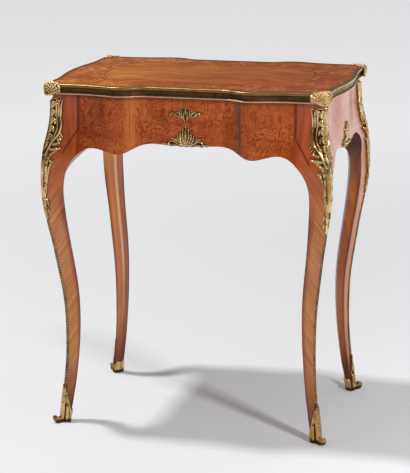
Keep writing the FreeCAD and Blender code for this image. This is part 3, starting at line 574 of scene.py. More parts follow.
for side in ("left", "right"):
    refinish("front_block_" + side, "veneered_block_" + side, block_veneer)

back_veneer, surface, place, (x, y, z) = new_material("back_veneer")
out = abs(x)
wood, pores = inlaid_veneer(z, x, y, foliage(place, out, z))
wood = framed_panel((x, y, z), leg_side(out, z), wood)
string = limit(abs(out - MIDDLE_HALF), STRING_HALF, STRING_HALF * 0.8)
polish(surface, place, mix(string, wood, STRINGING), pores, *FRIEZE_GLOSS)

refinish("back_apron", "veneered_back", back_veneer)

side_veneer, surface, place, (x, y, z) = new_material("side_veneer")
out = abs(y)
wood, pores = inlaid_veneer(z, y, x, foliage(place, out, z))
wood = framed_panel((x, y, z), leg_side(out + SIDE_SHIFT, z), wood)
_, _, facing_z = facing(place)
# painted shade on the faces of the sides that look down
wood = mix(limit(facing_z, -0.15, -0.5), wood, UNDER_SHADE, "MULTIPLY")
polish(surface, place, wood, pores, dull=0.26)

for side in ("left", "right"):
    refinish("side_apron_" + side, "veneered_side_" + side, side_veneer)

# Inside the frieze: cheeks, rails, runners, kickers, stops and glue blocks of plain oak, planed and left
# bare, and the wood screws that come up through the blocks to hold the top.
OAK_DARK = colour(112, 76, 46)
OAK_WOOD = (6 * MM, OAK_DARK, colour(182, 138, 92))
STEEL_DARK = colour(110, 108, 104)
STEEL_LIGHT = colour(170, 168, 164)
RUST = colour(92, 58, 38)


def build_oak(name, grain_axis):
    """Planed oak with its grain along one axis, dulled and stained by age."""
    material, surface, place, (x, y, z) = new_material(name)
    wood, pores = laid(OAK_WOOD, *{"x": (x, z, y), "y": (y, x, z), "z": (z, x, y)}[grain_axis])
    stains = limit(noise(place, 9.0, 3.0), 0.5, 0.75) * 0.35
    polish(surface, place, mix(stains, wood, OAK_DARK), pores, dull=0.62, gloss=0.25, coat=0.0)
    return material


def metal(surface, shade, roughness, bare=1.0):
    """A metal's colour and roughness, and how much of it is bare."""
    give(surface.inputs["Base Color"], shade)
    give(surface.inputs["Roughness"], roughness)
    give(surface.inputs["Metallic"], bare)


def build_steel():
    """Filed steel, greyed and spotted with a little rust."""
    material, surface, place, (x, y, z) = new_material("filed_steel")
    lines = noise(vector(x * 40.0, y, z * 4.0), 60.0, 3.0)
    rust = limit(noise(place, 160.0, 4.0), 0.58, 0.7)
    shade = mix(rust, mix(lines, STEEL_DARK, STEEL_LIGHT), RUST)
    metal(surface, shade, lines * 0.25 + 0.3, bare=1.0 - rust * 0.7)
    return material


OAK = {axis: build_oak("oak_along_" + axis, axis) for axis in "xyz"}
STEEL = build_steel()


def coat_node(node, material):
    """A CAD node whose shape is right keeps it and gets its finish."""
    mesh = frame["nodes"][node].data
    mesh.materials.clear()
    mesh.materials.append(material)


for node in ("front_top_rail", "front_bottom_rail", "top_fixing_blocks"):
    coat_node(node, OAK["x"])
for node in ("drawer_cheek", "drawer_runner", "drawer_kicker"):
    for side in ("_left", "_right"):
        coat_node(node + side, OAK["y"])
coat_node("drawer_stops", OAK["z"])
coat_node("top_fixing_screws", STEEL)

# The top: an oak board with its veneers, a lobed reserve of lengthwise figured wood, a dark line of
# stringing round it, and a border inlaid with scrolling foliage that runs out to the brass edge.
coat_node("top_board", OAK["x"])
RESERVE_WOOD = (12 * MM, colour(120, 58, 28), colour(194, 119, 54))
LINE_WOOD = (9 * MM, colour(92, 42, 24), colour(138, 70, 38))
BORDER_WOOD = (9 * MM, colour(122, 58, 28), colour(170, 94, 45))
LEAF_WOOD = (9 * MM, colour(186, 114, 54), colour(222, 154, 82))
TOP_GLOSS = (0.34, 0.16, 0.0)
TOP_SHADE = colour(228, 212, 226)   # the top looks darker towards the right
TOP_SHADE_X = (-220 * MM, 120 * MM)


def swirled(place, scale, push):
    """A place pushed about by slow noise, so that grain laid on it runs in waves and curls."""
    drift = noise(place, scale, 2.0, output="Color")
    return split(vector_calc("MULTIPLY_ADD", drift, (push, push, push), place))


def shaded_top(x, wood):
    """The top's wood, a little darker towards the right."""
    return mix(limit(x, *TOP_SHADE_X), wood, TOP_SHADE, "MULTIPLY")


reserve_veneer, surface, place, (x, _, _) = new_material("reserve_veneer")
wood, pores = laid(RESERVE_WOOD, *swirled(place, 8.0, 0.14))
polish(surface, place, shaded_top(x, wood), pores, *TOP_GLOSS)
coat_node("top_centre_reserve", reserve_veneer)

dark_line, surface, place, axes = new_material("dark_stringing")
wood, pores = laid(LINE_WOOD, *axes)
polish(surface, place, wood, pores, *TOP_GLOSS)
coat_node("top_stringing", dark_line)

BORDER_DESIGN = [
    ("scroll", 266, 172, 24, 200, 1), ("scroll", 222, 166, 20, 20, -1), ("scroll", 272, 126, 18, 90, -1),
    ("scroll", 176, 176, 18, 180, 1), ("scroll", 132, 170, 16, 40, -1), ("scroll", 92, 157, 15, 160, 1),
    ("scroll", 52, 159, 15, 10, -1), ("flower", 0, 158, 13, 90, 1), ("scroll", 272, 84, 16, 280, 1),
    ("scroll", 274, 46, 15, 90, -1), ("flower", 275, 0, 13, 0, 1), ("leaf", 240, 182, 24, -15, 1),
    ("leaf", 198, 182, 22, 190, 1), ("leaf", 150, 186, 24, -10, -1), ("leaf", 112, 166, 22, 190, 1),
    ("leaf", 30, 152, 22, 30, 1), ("leaf", 284, 108, 22, 95, 1), ("leaf", 262, 104, 20, 260, 1),
    ("leaf", 284, 66, 20, 80, -1), ("leaf", 272, 26, 20, -80, 1), ("leaf", 248, 150, 22, 60, 1),
]

border_veneer, surface, place, (x, y, z) = new_material("border_veneer")
level = calc("FRACT", noise(place, 26.0, 1.0) * 6.0)
tendrils = limit(abs(level - 0.5), 0.2, 0.1)
mask = calc("MAXIMUM", inlay_mask(abs(x), abs(y), BORDER_DESIGN), tendrils)
ground, pores = laid(BORDER_WOOD, *swirled(place, 14.0, 0.06))
paler, _ = laid(LEAF_WOOD, y, x, z)
worn = mask * limit(noise(place, 22.0, 3.0), 0.35, 0.75)
polish(surface, place, shaded_top(x, mix(worn, ground, paler)), pores, *TOP_GLOSS)
coat_node("top_marquetry_border", border_veneer)

# The edge moulding: drawn brass, bent to the plan of the top and mitred at the corners, with a bead above,
# a dark hollow and a thin lip below.
BRASS_RIGHT_LIT = colour(170, 139, 92)     # painted lighter on the right side, as painted light; darker on the others
BRASS_OTHER_SIDES = colour(142, 110, 66)
BRASS_DARK = colour(80, 56, 34)
# a painted highlight along the thin lower lip
BRASS_LIP_HIGHLIGHT = colour(222, 180, 146)
LIP_Z = (733 * MM, 731.5 * MM)
HOLLOW_LOW = 732.5 * MM
HOLLOW_HIGH = 744.0 * MM
RIGHT_X = (290 * MM, 300 * MM)          # where the right side begins

brass_moulding, surface, place, (x, y, z) = new_material("toned_brass")
over_lip = limit(z, HOLLOW_LOW - 1 * MM, HOLLOW_LOW + 1 * MM)
under_bead = limit(z, HOLLOW_HIGH + 1.5 * MM, HOLLOW_HIGH - 1 * MM)
on_right = limit(x, *RIGHT_X)
# painted shade in the hollow, less on the right side, with tarnish in spots
hollow_shade = 0.8 - on_right * 0.38
spots = noise(place, 70.0, 4.0)
tarnish_and_shade = limit(spots, 0.45, 0.75) * 0.3 + over_lip * under_bead * hollow_shade
drawn = noise(vector(x * 2.0, y * 2.0, z * 700.0), 1.0, 3.0)
shade = mix(on_right, BRASS_OTHER_SIDES, BRASS_RIGHT_LIT)
# painted highlight on the lower lip
shade = mix(limit(z, *LIP_Z), shade, BRASS_LIP_HIGHLIGHT)
metal(surface, mix(tarnish_and_shade, shade, BRASS_DARK), drawn * 0.12 + tarnish_and_shade * 0.2 + 0.34)

for side in ("front", "back", "left", "right"):
    refinish("edge_moulding_" + side, "brass_moulding_" + side, brass_moulding)

# The chutes: cast and chased bronzes, gilt, that clasp the knees. A panel of husks in long scrolled frames,
# leaf sprays with berries, leaves that sweep down into a plain tongue, and a small drop of leaves below it.
SUNK = -1.2                     # a casting's rim lies this far under the wood, in millimetres
EDGE_RISE = 0.4                 # and the edges of its forms this far over it
EDGE_SLOPE = 1.5                # how steeply they go down to the wood
LOBE_DEPTH = 0.2                # of the lobes along a leaf's edge
LOBE_COUNT = 3.5
VEIN_DEPTH = 0.4
VEIN_WIDTH = 0.17
RIB_DEPTH = 0.1                 # of the fine ribs beside the vein
RIB_COUNT = 14
RIB_SLANT = 5
GROUND_TOP = 0.6                # what is lower than this share of the relief is ground, where dirt lies
GROUND_BLEND = 0.3
NEAR_CELLS = 3                  # and so it does where a place is lower than those around it
HOLLOW_DEPTH = 1.2
SKIN = 0.9 * MM
GILT_BRIGHT = colour(238, 206, 152)
GILT_DULL = colour(178, 136, 82)
GILT_HOLLOW = colour(86, 60, 31)


def smooth_line(points, steps=8):
    """Places along a smooth curve through a few chosen ones."""
    chosen = [np.array(point, float) for point in points]
    before = 2 * chosen[0] - chosen[1]
    after = 2 * chosen[-1] - chosen[-2]
    row = [before] + chosen + [after]
    line = []
    for p, q, r, s in zip(row, row[1:], row[2:], row[3:]):
        for t in np.arange(steps) / steps:
            line.append(q + 0.5 * t * (r - p + t * (2 * p - 5 * q + 4 * r - s + t * (3 * (q - r) + s - p))))
    return line + [chosen[-1]]


def off_line(a, b, points):
    """How far each place (a, b) lies from a curve, and where along the curve, from 0 to 1."""
    if len(points) == 1:
        return np.hypot(a - points[0][0], b - points[0][1]), np.zeros(a.shape)
    line = smooth_line(points)
    nearest = np.full(a.shape, 1e9)
    share = np.zeros(a.shape)
    for index, (p, q) in enumerate(zip(line, line[1:])):
        step = q - p
        along = np.clip(((a - p[0]) * step[0] + (b - p[1]) * step[1]) / (step @ step), 0, 1)
        off = np.hypot(a - p[0] - along * step[0], b - p[1] - along * step[1])
        closer = off < nearest
        nearest = np.where(closer, off, nearest)
        share = np.where(closer, (index + along) / (len(line) - 1), share)
    return nearest, share


def relief(a, b, strokes):
    """Height of a casting over its seat: at each place the highest of its forms."""
    height = np.full(a.shape, SUNK)
    for form, points, widths, high in strokes:
        off, share = off_line(a, b, points)
        width = np.interp(share, np.linspace(0, 1, len(widths)), widths)
        if form == "leaf":
            lobes = np.abs(np.sin(share * LOBE_COUNT * math.pi))
            width = width * (1 - LOBE_DEPTH + LOBE_DEPTH * lobes)
        across = np.clip(off / width, 0, 1)
        dome = (high - EDGE_RISE) * np.sqrt(1 - across ** 2)
        if form == "plate":
            rise = np.minimum(high, EDGE_RISE + (1 - across) * width)
        elif form == "leaf":
            vein = 1 - VEIN_DEPTH * np.exp(-(across / VEIN_WIDTH) ** 2)
            ribs = 1 + RIB_DEPTH * np.cos(RIB_COUNT * share * math.pi - RIB_SLANT * across)
            rise = EDGE_RISE + dome * vein * ribs
        else:
            rise = EDGE_RISE + dome
        outside = np.maximum(SUNK, EDGE_RISE - (off - width) * EDGE_SLOPE)
        height = np.maximum(height, np.where(off < width, rise, outside))
    return height


NO_SHADE = ((0,), (0,))       # heights, and how much painted shade a casting's gilding gets there


def cast(name, low, high, cell, strokes, seat, hole=None, grime_and_shade=0.7, shade_by_height=NO_SHADE):
    """A casting as a fine sheet over its seat, raised into mirrored relief, cut out and given a back."""
    counts = [round((top - bottom) / cell) for bottom, top in zip(low, high)]
    bpy.ops.mesh.primitive_grid_add(x_subdivisions=counts[0], y_subdivisions=counts[1], size=1.0)
    piece = bpy.context.object
    piece.name = name
    mesh = piece.data
    flat = np.empty(len(mesh.vertices) * 3)
    mesh.vertices.foreach_get("co", flat)
    flat = flat.reshape(-1, 3)
    a = low[0] + (flat[:, 0] + 0.5) * (high[0] - low[0])
    b = low[1] + (flat[:, 1] + 0.5) * (high[1] - low[1])
    rise = relief(np.abs(a), b, strokes)
    if hole is not None:
        rise = np.where(hole(a, b), SUNK, rise)
    sheet = np.zeros((counts[0] + 1, counts[1] + 1))
    column = np.rint((flat[:, 0] + 0.5) * counts[0]).astype(int)
    row = np.rint((flat[:, 1] + 0.5) * counts[1]).astype(int)
    sheet[column, row] = rise
    near = (-NEAR_CELLS, 0, NEAR_CELLS)
    around = sum(np.roll(sheet, (i, j), (0, 1)) for i in near for j in near) / len(near) ** 2
    tallest = max(stroke[3] for stroke in strokes)
    ground = np.clip((GROUND_TOP - rise / tallest) / GROUND_BLEND, 0, 1)
    lower = (around - sheet)[column, row] / HOLLOW_DEPTH
    # dirt in the ground and the hollows, with painted shade given by corner and height
    hollow = np.clip(grime_and_shade * ground + lower + np.interp(b, *shade_by_height), 0, 1)
    mesh.vertices.foreach_set("co", np.stack(seat(a, b, rise), -1).astype(np.float32).ravel())
    mesh.attributes.new("hollow", "FLOAT", "POINT").data.foreach_set("value", hollow.astype(np.float32))
    corners = np.empty(len(mesh.polygons) * 4, int)
    mesh.polygons.foreach_get("vertices", corners)
    buried = (rise <= SUNK + 0.01)[corners.reshape(-1, 4)].all(axis=1)
    cut_faces(piece, buried)
    rim = piece.modifiers.new("back", "SOLIDIFY")
    rim.thickness = SKIN
    rim.offset = -1.0
    bpy.ops.object.modifier_apply(modifier=rim.name)
    bpy.ops.object.shade_smooth()
    return piece


def cut_faces(piece, doomed):
    """Deletes the marked faces of a piece."""
    pick(piece)
    bpy.context.tool_settings.mesh_select_mode = (False, False, True)
    mesh = piece.data
    mesh.vertices.foreach_set("select", np.zeros(len(mesh.vertices), bool))
    mesh.edges.foreach_set("select", np.zeros(len(mesh.edges), bool))
    mesh.polygons.foreach_set("select", doomed)
    bpy.ops.object.mode_set(mode="EDIT")
    bpy.ops.mesh.delete(type="FACE")
    bpy.ops.object.mode_set(mode="OBJECT")


SOLE_Z = 11.0 * MM              # below this the shoes darken towards the floor


def build_gilding(name, matting):
    """Mercury gilding: bright where it is rubbed, dull between, brown in the hollows, and darker where a
    casting carries painted shade.
    """
    material, surface, place, (_, _, z) = new_material(name)
    cast_hollow = Wire(add(tree_of(place), "Attribute", attribute_name="hollow").outputs["Fac"])
    hollow = calc("MAXIMUM", cast_hollow, limit(z, SOLE_Z, 0.4 * SOLE_Z))
    spots = noise(place, 120.0, 4.0)
    wear_and_highlight = limit(noise(place, 24.0, 3.0), 0.35, 0.65)
    dirt_and_shade = limit(spots * 0.4 + hollow - 0.3, 0.05, 0.5)
    shade = mix(wear_and_highlight, GILT_DULL, GILT_BRIGHT)
    metal(surface, mix(dirt_and_shade, shade, GILT_HOLLOW), spots * 0.12 + dirt_and_shade * 0.3 + matting)
    give(surface.inputs["Normal"], bumped(noise(place, 420.0, 3.0), 0.06, 0.3 * MM))
    return material


GILDING = build_gilding("gilt_bronze", 0.14)
MATT_GILDING = build_gilding("matt_gilt_bronze", 0.42)

# The arris of a leg, read from its CAD node: how far out it lies at each height
leg_points = np.array([vertex.co[:] for vertex in frame["nodes"]["leg_back_right"].data.vertices])
leg_top = leg_points[leg_points[:, 2] > leg_points[:, 2].max() - 0.1 * MM]
stile_x, stile_y, _ = leg_top.max(axis=0)
on_diagonal = np.abs((leg_points[:, 0] - stile_x) - (leg_points[:, 1] - stile_y)) < 0.02 * MM
middles = leg_points[on_diagonal]
outer = [point for point in middles
         if point[0] > middles[np.abs(middles[:, 2] - point[2]) < 30 * MM][:, 0].max() - 9 * MM]
arris = np.array(sorted(outer, key=lambda point: point[2]))

KNEE_Z = 599.0                  # a leg is square in plan above this height, in millimetres
KITE_Z = 545.0                  # and a kite below this one
KITE_TURN = 0.17                # slope of the kite's outer faces


def kite_angle(b):
    """How far a leg's outer faces have turned back from the square at a height."""
    share = np.clip((KNEE_Z - b) / (KNEE_Z - KITE_Z), 0, 1)
    return np.arctan(KITE_TURN * share * share * (3 - 2 * share))


def round_corner(s, radius, turn=0.0):
    """A rounded corner in plan: how far each place lies from the sharp corner, and which way is out."""
    widest = math.pi / 4 + turn
    angle = np.clip(s / radius, -widest, widest)
    on_face = np.sign(s) * np.maximum(np.abs(s) - radius * widest, 0)
    along_diagonal = radius * np.cos(angle) - radius / np.cos(widest) - np.abs(on_face) * np.sin(widest)
    across = radius * np.sin(angle) + on_face * np.cos(widest)
    root = math.sqrt(0.5)
    x = (along_diagonal + across) * root
    y = (along_diagonal - across) * root
    return x, y, (np.cos(angle) + np.sin(angle)) * root, (np.cos(angle) - np.sin(angle)) * root


def on_leg(corner, radius, lift=0.0):
    """A seat along a leg's arris: across it in millimetres, up it, and out from it."""
    sx, sy = CORNERS[corner]

    def seat(a, b, rise):
        x, y, out_x, out_y = round_corner(a * MM * sx * sy, radius * MM, kite_angle(b))
        z = b * MM
        flare = np.interp(z, arris[:, 2], arris[:, 0]) - stile_x
        out = (rise + lift) * MM
        return sx * (stile_x + flare + x + out_x * out), sy * (stile_y + flare + y + out_y * out), z

    return seat


KNEE = [
    ("plate", [(0, 714), (0, 665), (0, 612)], (11, 12, 10), 2.0),
    ("plate", [(13, 711), (14, 680), (15, 650), (10, 622)], (5.5, 6.5, 6.5, 6), 1.3),
    ("rib", [(23, 717), (20.5, 710), (19.3, 702), (19, 692), (19.4, 681)], (1.0, 1.5, 1.8, 1.8, 1.3), 5.0),
    ("rib", [(14.5, 713), (14.2, 698), (14.6, 681)], (1.2, 1.6, 1.2), 4.4),
    ("rib", [(9, 716), (9, 702), (9.4, 684)], (1.4, 1.8, 1.6), 4.8),
    ("rib", [(9.4, 684), (13.4, 666), (14.4, 652), (11.5, 640), (7, 627), (3.5, 612)],
     (1.4, 1.7, 1.8, 1.8, 1.7, 1.2), 5.0),
    ("rib", [(18.5, 679), (21.5, 668), (22, 655), (20, 643), (16, 636), (12, 630), (8.5, 622), (5, 611),
             (2.5, 600)], (1.2, 2.4, 2.9, 2.9, 2.7, 2.6, 2.5, 2.2, 1.4), 6.4),
    ("leaf", [(12, 622), (19, 623), (25, 625)], (1.8, 2.8, 1.4), 4.6),
    ("leaf", [(7, 612), (15, 611), (24, 611.5), (29, 613.5)], (2.0, 3.2, 3.4, 1.6), 5.0),
    ("leaf", [(23, 608), (14, 601), (9, 592), (7, 577), (6.2, 548), (3.5, 522)],
     (1.2, 3.2, 3.4, 3.0, 2.4, 1.2), 5.5),
    ("leaf", [(23.5, 588.5), (17.5, 583), (12.5, 572), (9.6, 553), (6, 518)],
     (1.0, 2.8, 2.4, 1.6, 1.0), 4.8),
    ("rib", [(0, 622), (0, 600), (0, 560), (0, 525), (0, 510)], (6, 9, 8, 6, 5), 4.2),
    ("rib", [(0, 616), (0, 590), (0, 550), (0, 515)], (1.8, 2.6, 2.2, 1.6), 5.4),
    ("leaf", [(2, 506), (6, 500), (8.5, 489)], (1.6, 2.8, 0.8), 3.6),
    ("leaf", [(0, 509), (0, 496), (0, 483)], (4.6, 5.2, 1.2), 4.7),
    ("leaf", [(1.5, 488), (5, 482), (6.5, 473)], (1.4, 2.4, 0.8), 3.4),
    ("leaf", [(0, 490), (0, 479), (0, 468)], (3.2, 4.0, 1.0), 4.4),
    ("leaf", [(0, 473), (0, 465), (0, 459)], (2.2, 2.9, 0.8), 3.8),
    ("pearl", [(15, 702)], (2.6,), 3.3), ("pearl", [(15, 586)], (3.0,), 3.4),
    ("pearl", [(31, 614)], (2.7,), 5.4), ("pearl", [(26.5, 625.5)], (2.1,), 4.6),
    ("leaf", [(5, 709), (8, 712), (12, 716)], (1.8, 2.6, 0.9), 5.0), ("pearl", [(11, 708)], (2.4,), 5.0),
]
BERRIES = [(21, 643), (24.5, 645), (23.5, 639), (27, 642), (29.5, 638.5), (26, 634.5), (21.5, 633),
           (28.5, 632), (24, 629)]
for berry in BERRIES:
    KNEE.append(("pearl", [berry], (1.9,), 4.4))
for husk_z in (714, 697, 680, 663, 646, 629):
    KNEE.append(("leaf", [(0, husk_z), (0, husk_z - 9), (0, husk_z - 18)], (2.0, 5.0, 1.1), 6.6))
    KNEE.append(("leaf", [(2, husk_z - 3), (6, husk_z - 8), (8, husk_z - 15)], (1.5, 2.8, 0.9), 5.2))

# Heights, and how much painted shade the gilding gets there: most on the drop and at the fold of the knee
KNEE_SHADE = ((456, 508, 518, 595, 615, 645, 670), (0.5, 0.5, 0.0, 0.0, 0.36, 0.36, 0.0))

for corner in CORNERS:
    # the back chutes get a darker ground than the front ones, as painted shade
    grime_and_shade = 0.7 if corner.startswith("front") else 1.0
    seat = on_leg(corner, radius=3.0)
    chute = cast("gilt_chute_" + corner, (-37, 456), (37, 719), 0.8, KNEE, seat, grime_and_shade=grime_and_shade,
                 shade_by_height=KNEE_SHADE)
    stand_for(chute, "chute_" + corner, GILDING)

# The beads: a thin gilt strip pinned down the arris of each leg from the chute to the shoe, cast as a row
# of pearls.
PEARL_R = 1.45 * MM
PEARL_STEP = 3.6 * MM
PEARL_OUT = 0.6 * MM            # their centres stand this far out from the arris, in x and in y
PEARL_DULL = colour(150, 120, 78)
PEARL_WORN = colour(206, 174, 122)
PEARL_GAP = colour(50, 32, 18)

bead_bronze, surface, place, (_, _, z) = new_material("bead_bronze")
turn = calc("FRACT", z / PEARL_STEP)
crown = limit(abs(turn - 0.5), 0.36, 0.16)
worn = limit(noise(place, 60.0, 3.0), 0.35, 0.7)
gilt = mix(worn, PEARL_DULL, PEARL_WORN)
metal(surface, mix(crown, PEARL_GAP, gilt), 0.42 - worn * 0.1)

for corner, (sx, sy) in CORNERS.items():
    bead = smooth_copy("leg_bead_" + corner, "pearled_bead_" + corner)
    low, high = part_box("leg_bead_" + corner)
    bpy.ops.mesh.primitive_uv_sphere_add(segments=8, ring_count=5, radius=PEARL_R)
    pearl = bpy.context.object
    bpy.ops.object.shade_smooth()
    row = []
    for z in (np.arange(math.ceil(low.z / PEARL_STEP), math.floor(high.z / PEARL_STEP)) + 0.5) * PEARL_STEP:
        flare = np.interp(z, arris[:, 2], arris[:, 0]) - stile_x
        one = pearl.copy()
        one.data = pearl.data.copy()
        out = flare + PEARL_OUT
        one.data.transform(Matrix.Translation((sx * (stile_x + out), sy * (stile_y + out), z)))
        bpy.context.collection.objects.link(one)
        row.append(one)
    bpy.data.objects.remove(pearl)
    pick(bead)
    for one in row:
        one.select_set(True)
    bpy.ops.object.join()
    stand_for(bead, "leg_bead_" + corner, bead_bronze)

# The sabots: cast shoes that take the feet, gilt, with a pointed leaf up the arris, smaller leaves beside it
# and a toe that curls up outwards.
SHOE = [
    ("leaf", [(0, 44), (0, 54), (0, 66)], (3.6, 4.2, 1.2), 3.4),
    ("leaf", [(0, 62), (0, 72), (0, 84)], (2.6, 3.2, 0.8), 3.0),
    ("leaf", [(2, 44), (5, 52), (5.5, 60)], (1.6, 2.4, 0.8), 2.8),
    ("rib", [(0, 4), (0, 22), (0, 43)], (4.0, 4.6, 3.6), 3.4),
    ("rib", [(10.5, 4), (11, 18), (9.5, 37)], (2.8, 3.4, 2.2), 3.2),
]
SHOE_DIRT = 0.8                 # the cast ground round the ribs, dull and brown
SHOE_WORN = 16.0 * MM           # further in than this from the arris the shoe is bright
TOE_OUT = 2.0 * MM              # and what lies this much further out belongs to the toe
TOE_DIRT = 0.25
RIM_DIP = 0.32                  # the rim dips by this share at the side corners

for corner in CORNERS:
    shoe = smooth_copy("sabot_" + corner, "gilt_sabot_" + corner)
    sx, sy = CORNERS[corner]
    inward = np.array([FOOT_REACH - sx * vertex.co.x - sy * vertex.co.y for vertex in shoe.data.vertices])
    for vertex in shoe.data.vertices:
        across = abs(sx * vertex.co.x - sy * vertex.co.y - ROW_GAP) * math.sqrt(0.5)
        vertex.co.z *= 1 - RIM_DIP * min(max(across / FOOT_KEEP[0] - 1, 0), 1)
    draw_in_foot(shoe, corner)
    leaves = cast("shoe_leaves", (-22, 1), (22, 86), 0.8, SHOE, on_leg(corner, radius=2.0, lift=2.2))
    dirt_and_shade = shoe.data.attributes.new("hollow", "FLOAT", "POINT").data
    soil = np.where(inward < -TOE_OUT, TOE_DIRT, np.where(inward < SHOE_WORN, SHOE_DIRT, 0.0))
    dirt_and_shade.foreach_set("value", soil.astype(np.float32))
    pick(shoe)
    leaves.select_set(True)
    bpy.ops.object.join()
    stand_for(shoe, "sabot_" + corner, GILDING)

# The corner mounts: cast shells, gilt, that cover the mitres of the brass moulding and lap over the top.
# Each rib of a shell is a row of growing lobes.
# dirt in the ground of each shell, darker on the left and back ones as painted shade
CLASP_GRIME_AND_SHADE = {"front_left": 0.4, "front_right": 0.0, "back_left": 1.0, "back_right": 1.0}
CLASP_LIP = 13.0                # the moulding stands out this far from the frieze
CLASP_ROUND = 6.0               # radius of the corner in plan
CLASP_PATH = [(8.5, 726.5), (13.2, 730.5), (14.0, 738.5), (13.8, 744.8), (11.6, 748.9), (6.0, 750.2),
              (-4.0, 750.0)]
CLASP = [
    ("plate", [(0, 14), (18, 16), (29, 19)], (13, 11, 5), 0.8),
    ("plate", [(0, 27), (16, 25)], (10, 8), 0.8),
    ("rib", [(0, 2.4), (11, 4.5), (22, 9.5), (31, 14)], (2.2, 2.2, 2.0, 1.2), 2.6),
    ("pearl", [(0, 4)], (3.4,), 3.0),
]
for angle, length in ((0, 35), (13, 35.5), (26, 36), (39, 36), (52, 35), (65, 34), (78, 32)):
    sin = math.sin(math.radians(angle))
    cos = math.cos(math.radians(angle))
    for share, radius in ((0.28, 1.2), (0.4, 1.5), (0.53, 1.8), (0.67, 2.1), (0.83, 2.4), (1.0, 2.7)):
        lobe = (length * sin * share, 5 + length * cos * share)
        CLASP.append(("pearl", [lobe], (radius,), 1.6 + radius * 0.4))

clasp_line = np.array(smooth_line(CLASP_PATH))
clasp_run = np.concatenate([[0], np.cumsum(np.hypot(*np.diff(clasp_line, axis=0).T))])
clasp_way = np.gradient(clasp_line, axis=0)
clasp_way /= np.hypot(*clasp_way.T)[:, None]


def on_clasp(corner):
    """A seat round a corner of the moulding: along the edge from the corner, then up and over."""
    sx, sy = CORNERS[corner]

    def seat(a, b, rise):
        x, y, out_x, out_y = round_corner(a * MM * sx * sy, CLASP_ROUND * MM)
        out = np.interp(b, clasp_run, clasp_line[:, 0]) + rise * np.interp(b, clasp_run, clasp_way[:, 1])
        up = np.interp(b, clasp_run, clasp_line[:, 1]) - rise * np.interp(b, clasp_run, clasp_way[:, 0])
        out = (out - CLASP_LIP) * MM
        lip = CLASP_LIP * MM
        return sx * (stile_x + lip + x + out_x * out), sy * (stile_y + lip + y + out_y * out), up * MM

    return seat


for corner in CORNERS:
    grime_and_shade = CLASP_GRIME_AND_SHADE[corner]
    clasp = cast("gilt_corner_" + corner, (-35, 0), (35, 44), 0.6, CLASP, on_clasp(corner), grime_and_shade=grime_and_shade)
    stand_for(clasp, "corner_mount_" + corner, MATT_GILDING)

# The side mounts: a cast cartouche with leaf arms on the middle of each side, gilt, and pinned above the
# lower edge.
SIDE_LOW = 622.0                # below this height the seat goes straight down
SIDE_CAST = [
    ("plate", [(0, 645), (0, 628), (0, 612)], (5, 9, 8), 1.4),
    ("plate", [(0, 617), (20, 616), (34, 616)], (6, 5, 3), 1.2),
    ("leaf", [(0, 634), (0, 646), (0, 659)], (3.5, 4.6, 0.8), 4.6),
    ("leaf", [(3, 634), (8, 642), (9.5, 651)], (2.6, 3.6, 0.8), 4.2),
    ("leaf", [(5, 631), (12, 637), (14, 645)], (2.4, 3.4, 0.8), 3.8),
    ("rib", [(0, 636), (6.5, 633), (7.5, 627), (4, 621), (0, 619)], (1.5, 1.6, 1.6, 1.5, 1.4), 4.4),
    ("pearl", [(0, 628)], (4.6,), 4.6),
    ("leaf", [(6, 624), (18, 623), (29, 620.5), (38.5, 614.5)], (2.8, 4.6, 4.0, 0.9), 4.2),
    ("rib", [(10, 615), (20, 612.5), (28, 611.5), (32, 614.5), (29, 618)], (1.4, 1.8, 1.8, 1.5, 1.1), 4.0),
    ("rib", [(0, 611.5), (7, 612.5), (14, 613)], (2.6, 2.2, 1.4), 3.6),
]


def on_side(side):
    """A seat on a bowed side, found by reaching in to it from outside."""
    mesh = frame["nodes"]["side_apron_" + side].data
    faces = [face.vertices for face in mesh.polygons]
    skin = BVHTree.FromPolygons([vertex.co for vertex in mesh.vertices], faces)
    sx = 1 if side == "right" else -1

    def seat(a, b, rise):
        x = np.empty(a.shape)
        for index, (across, up) in enumerate(zip(a, b)):
            outside = Vector((sx, sx * across * MM, max(up, SIDE_LOW) * MM))
            x[index] = skin.ray_cast(outside, Vector((-sx, 0, 0)))[0].x
        return x + sx * rise * MM, sx * a * MM, b * MM

    return seat


for side in ("left", "right"):
    mount = cast("gilt_side_mount_" + side, (-42, 606), (42, 661), 0.8, SIDE_CAST, on_side(side), grime_and_shade=1.0)
    stand_for(mount, "side_mount_" + side, GILDING)
coat_node("mount_pins", GILDING)

# The drawer: oak sides dovetailed into a front that is shaped and veneered like the frieze, with a bottom in
# grooves and a plain back.
for node in ("drawer_side_left", "drawer_side_right"):
    coat_node(node, OAK["y"])
for node in ("drawer_back", "drawer_bottom"):
    coat_node(node, OAK["x"])

DRAWER_FOLIAGE = 1.45           # its scrolls are larger than those beside it
CORE_Y = (-176 * MM, -174 * MM)     # from here back the front shows its oak

drawer_veneer, surface, place, (x, y, z) = new_material("drawer_veneer")
wood, pores = inlaid_veneer(z, x, y, foliage(place, abs(x), z, DRAWER_FOLIAGE))
core, _ = laid(OAK_WOOD, x, z, y)
# with the painted highlight and shade beside the joints
# with the painted shadow under the brass lip
wood = mix(limit(y, *CORE_Y), shadow_under_lip(z, joint_highlight_and_shade(x, wood)), core)
polish(surface, place, wood, pores, *FRIEZE_GLOSS)

refinish("drawer_front", "veneered_drawer_front", drawer_veneer)

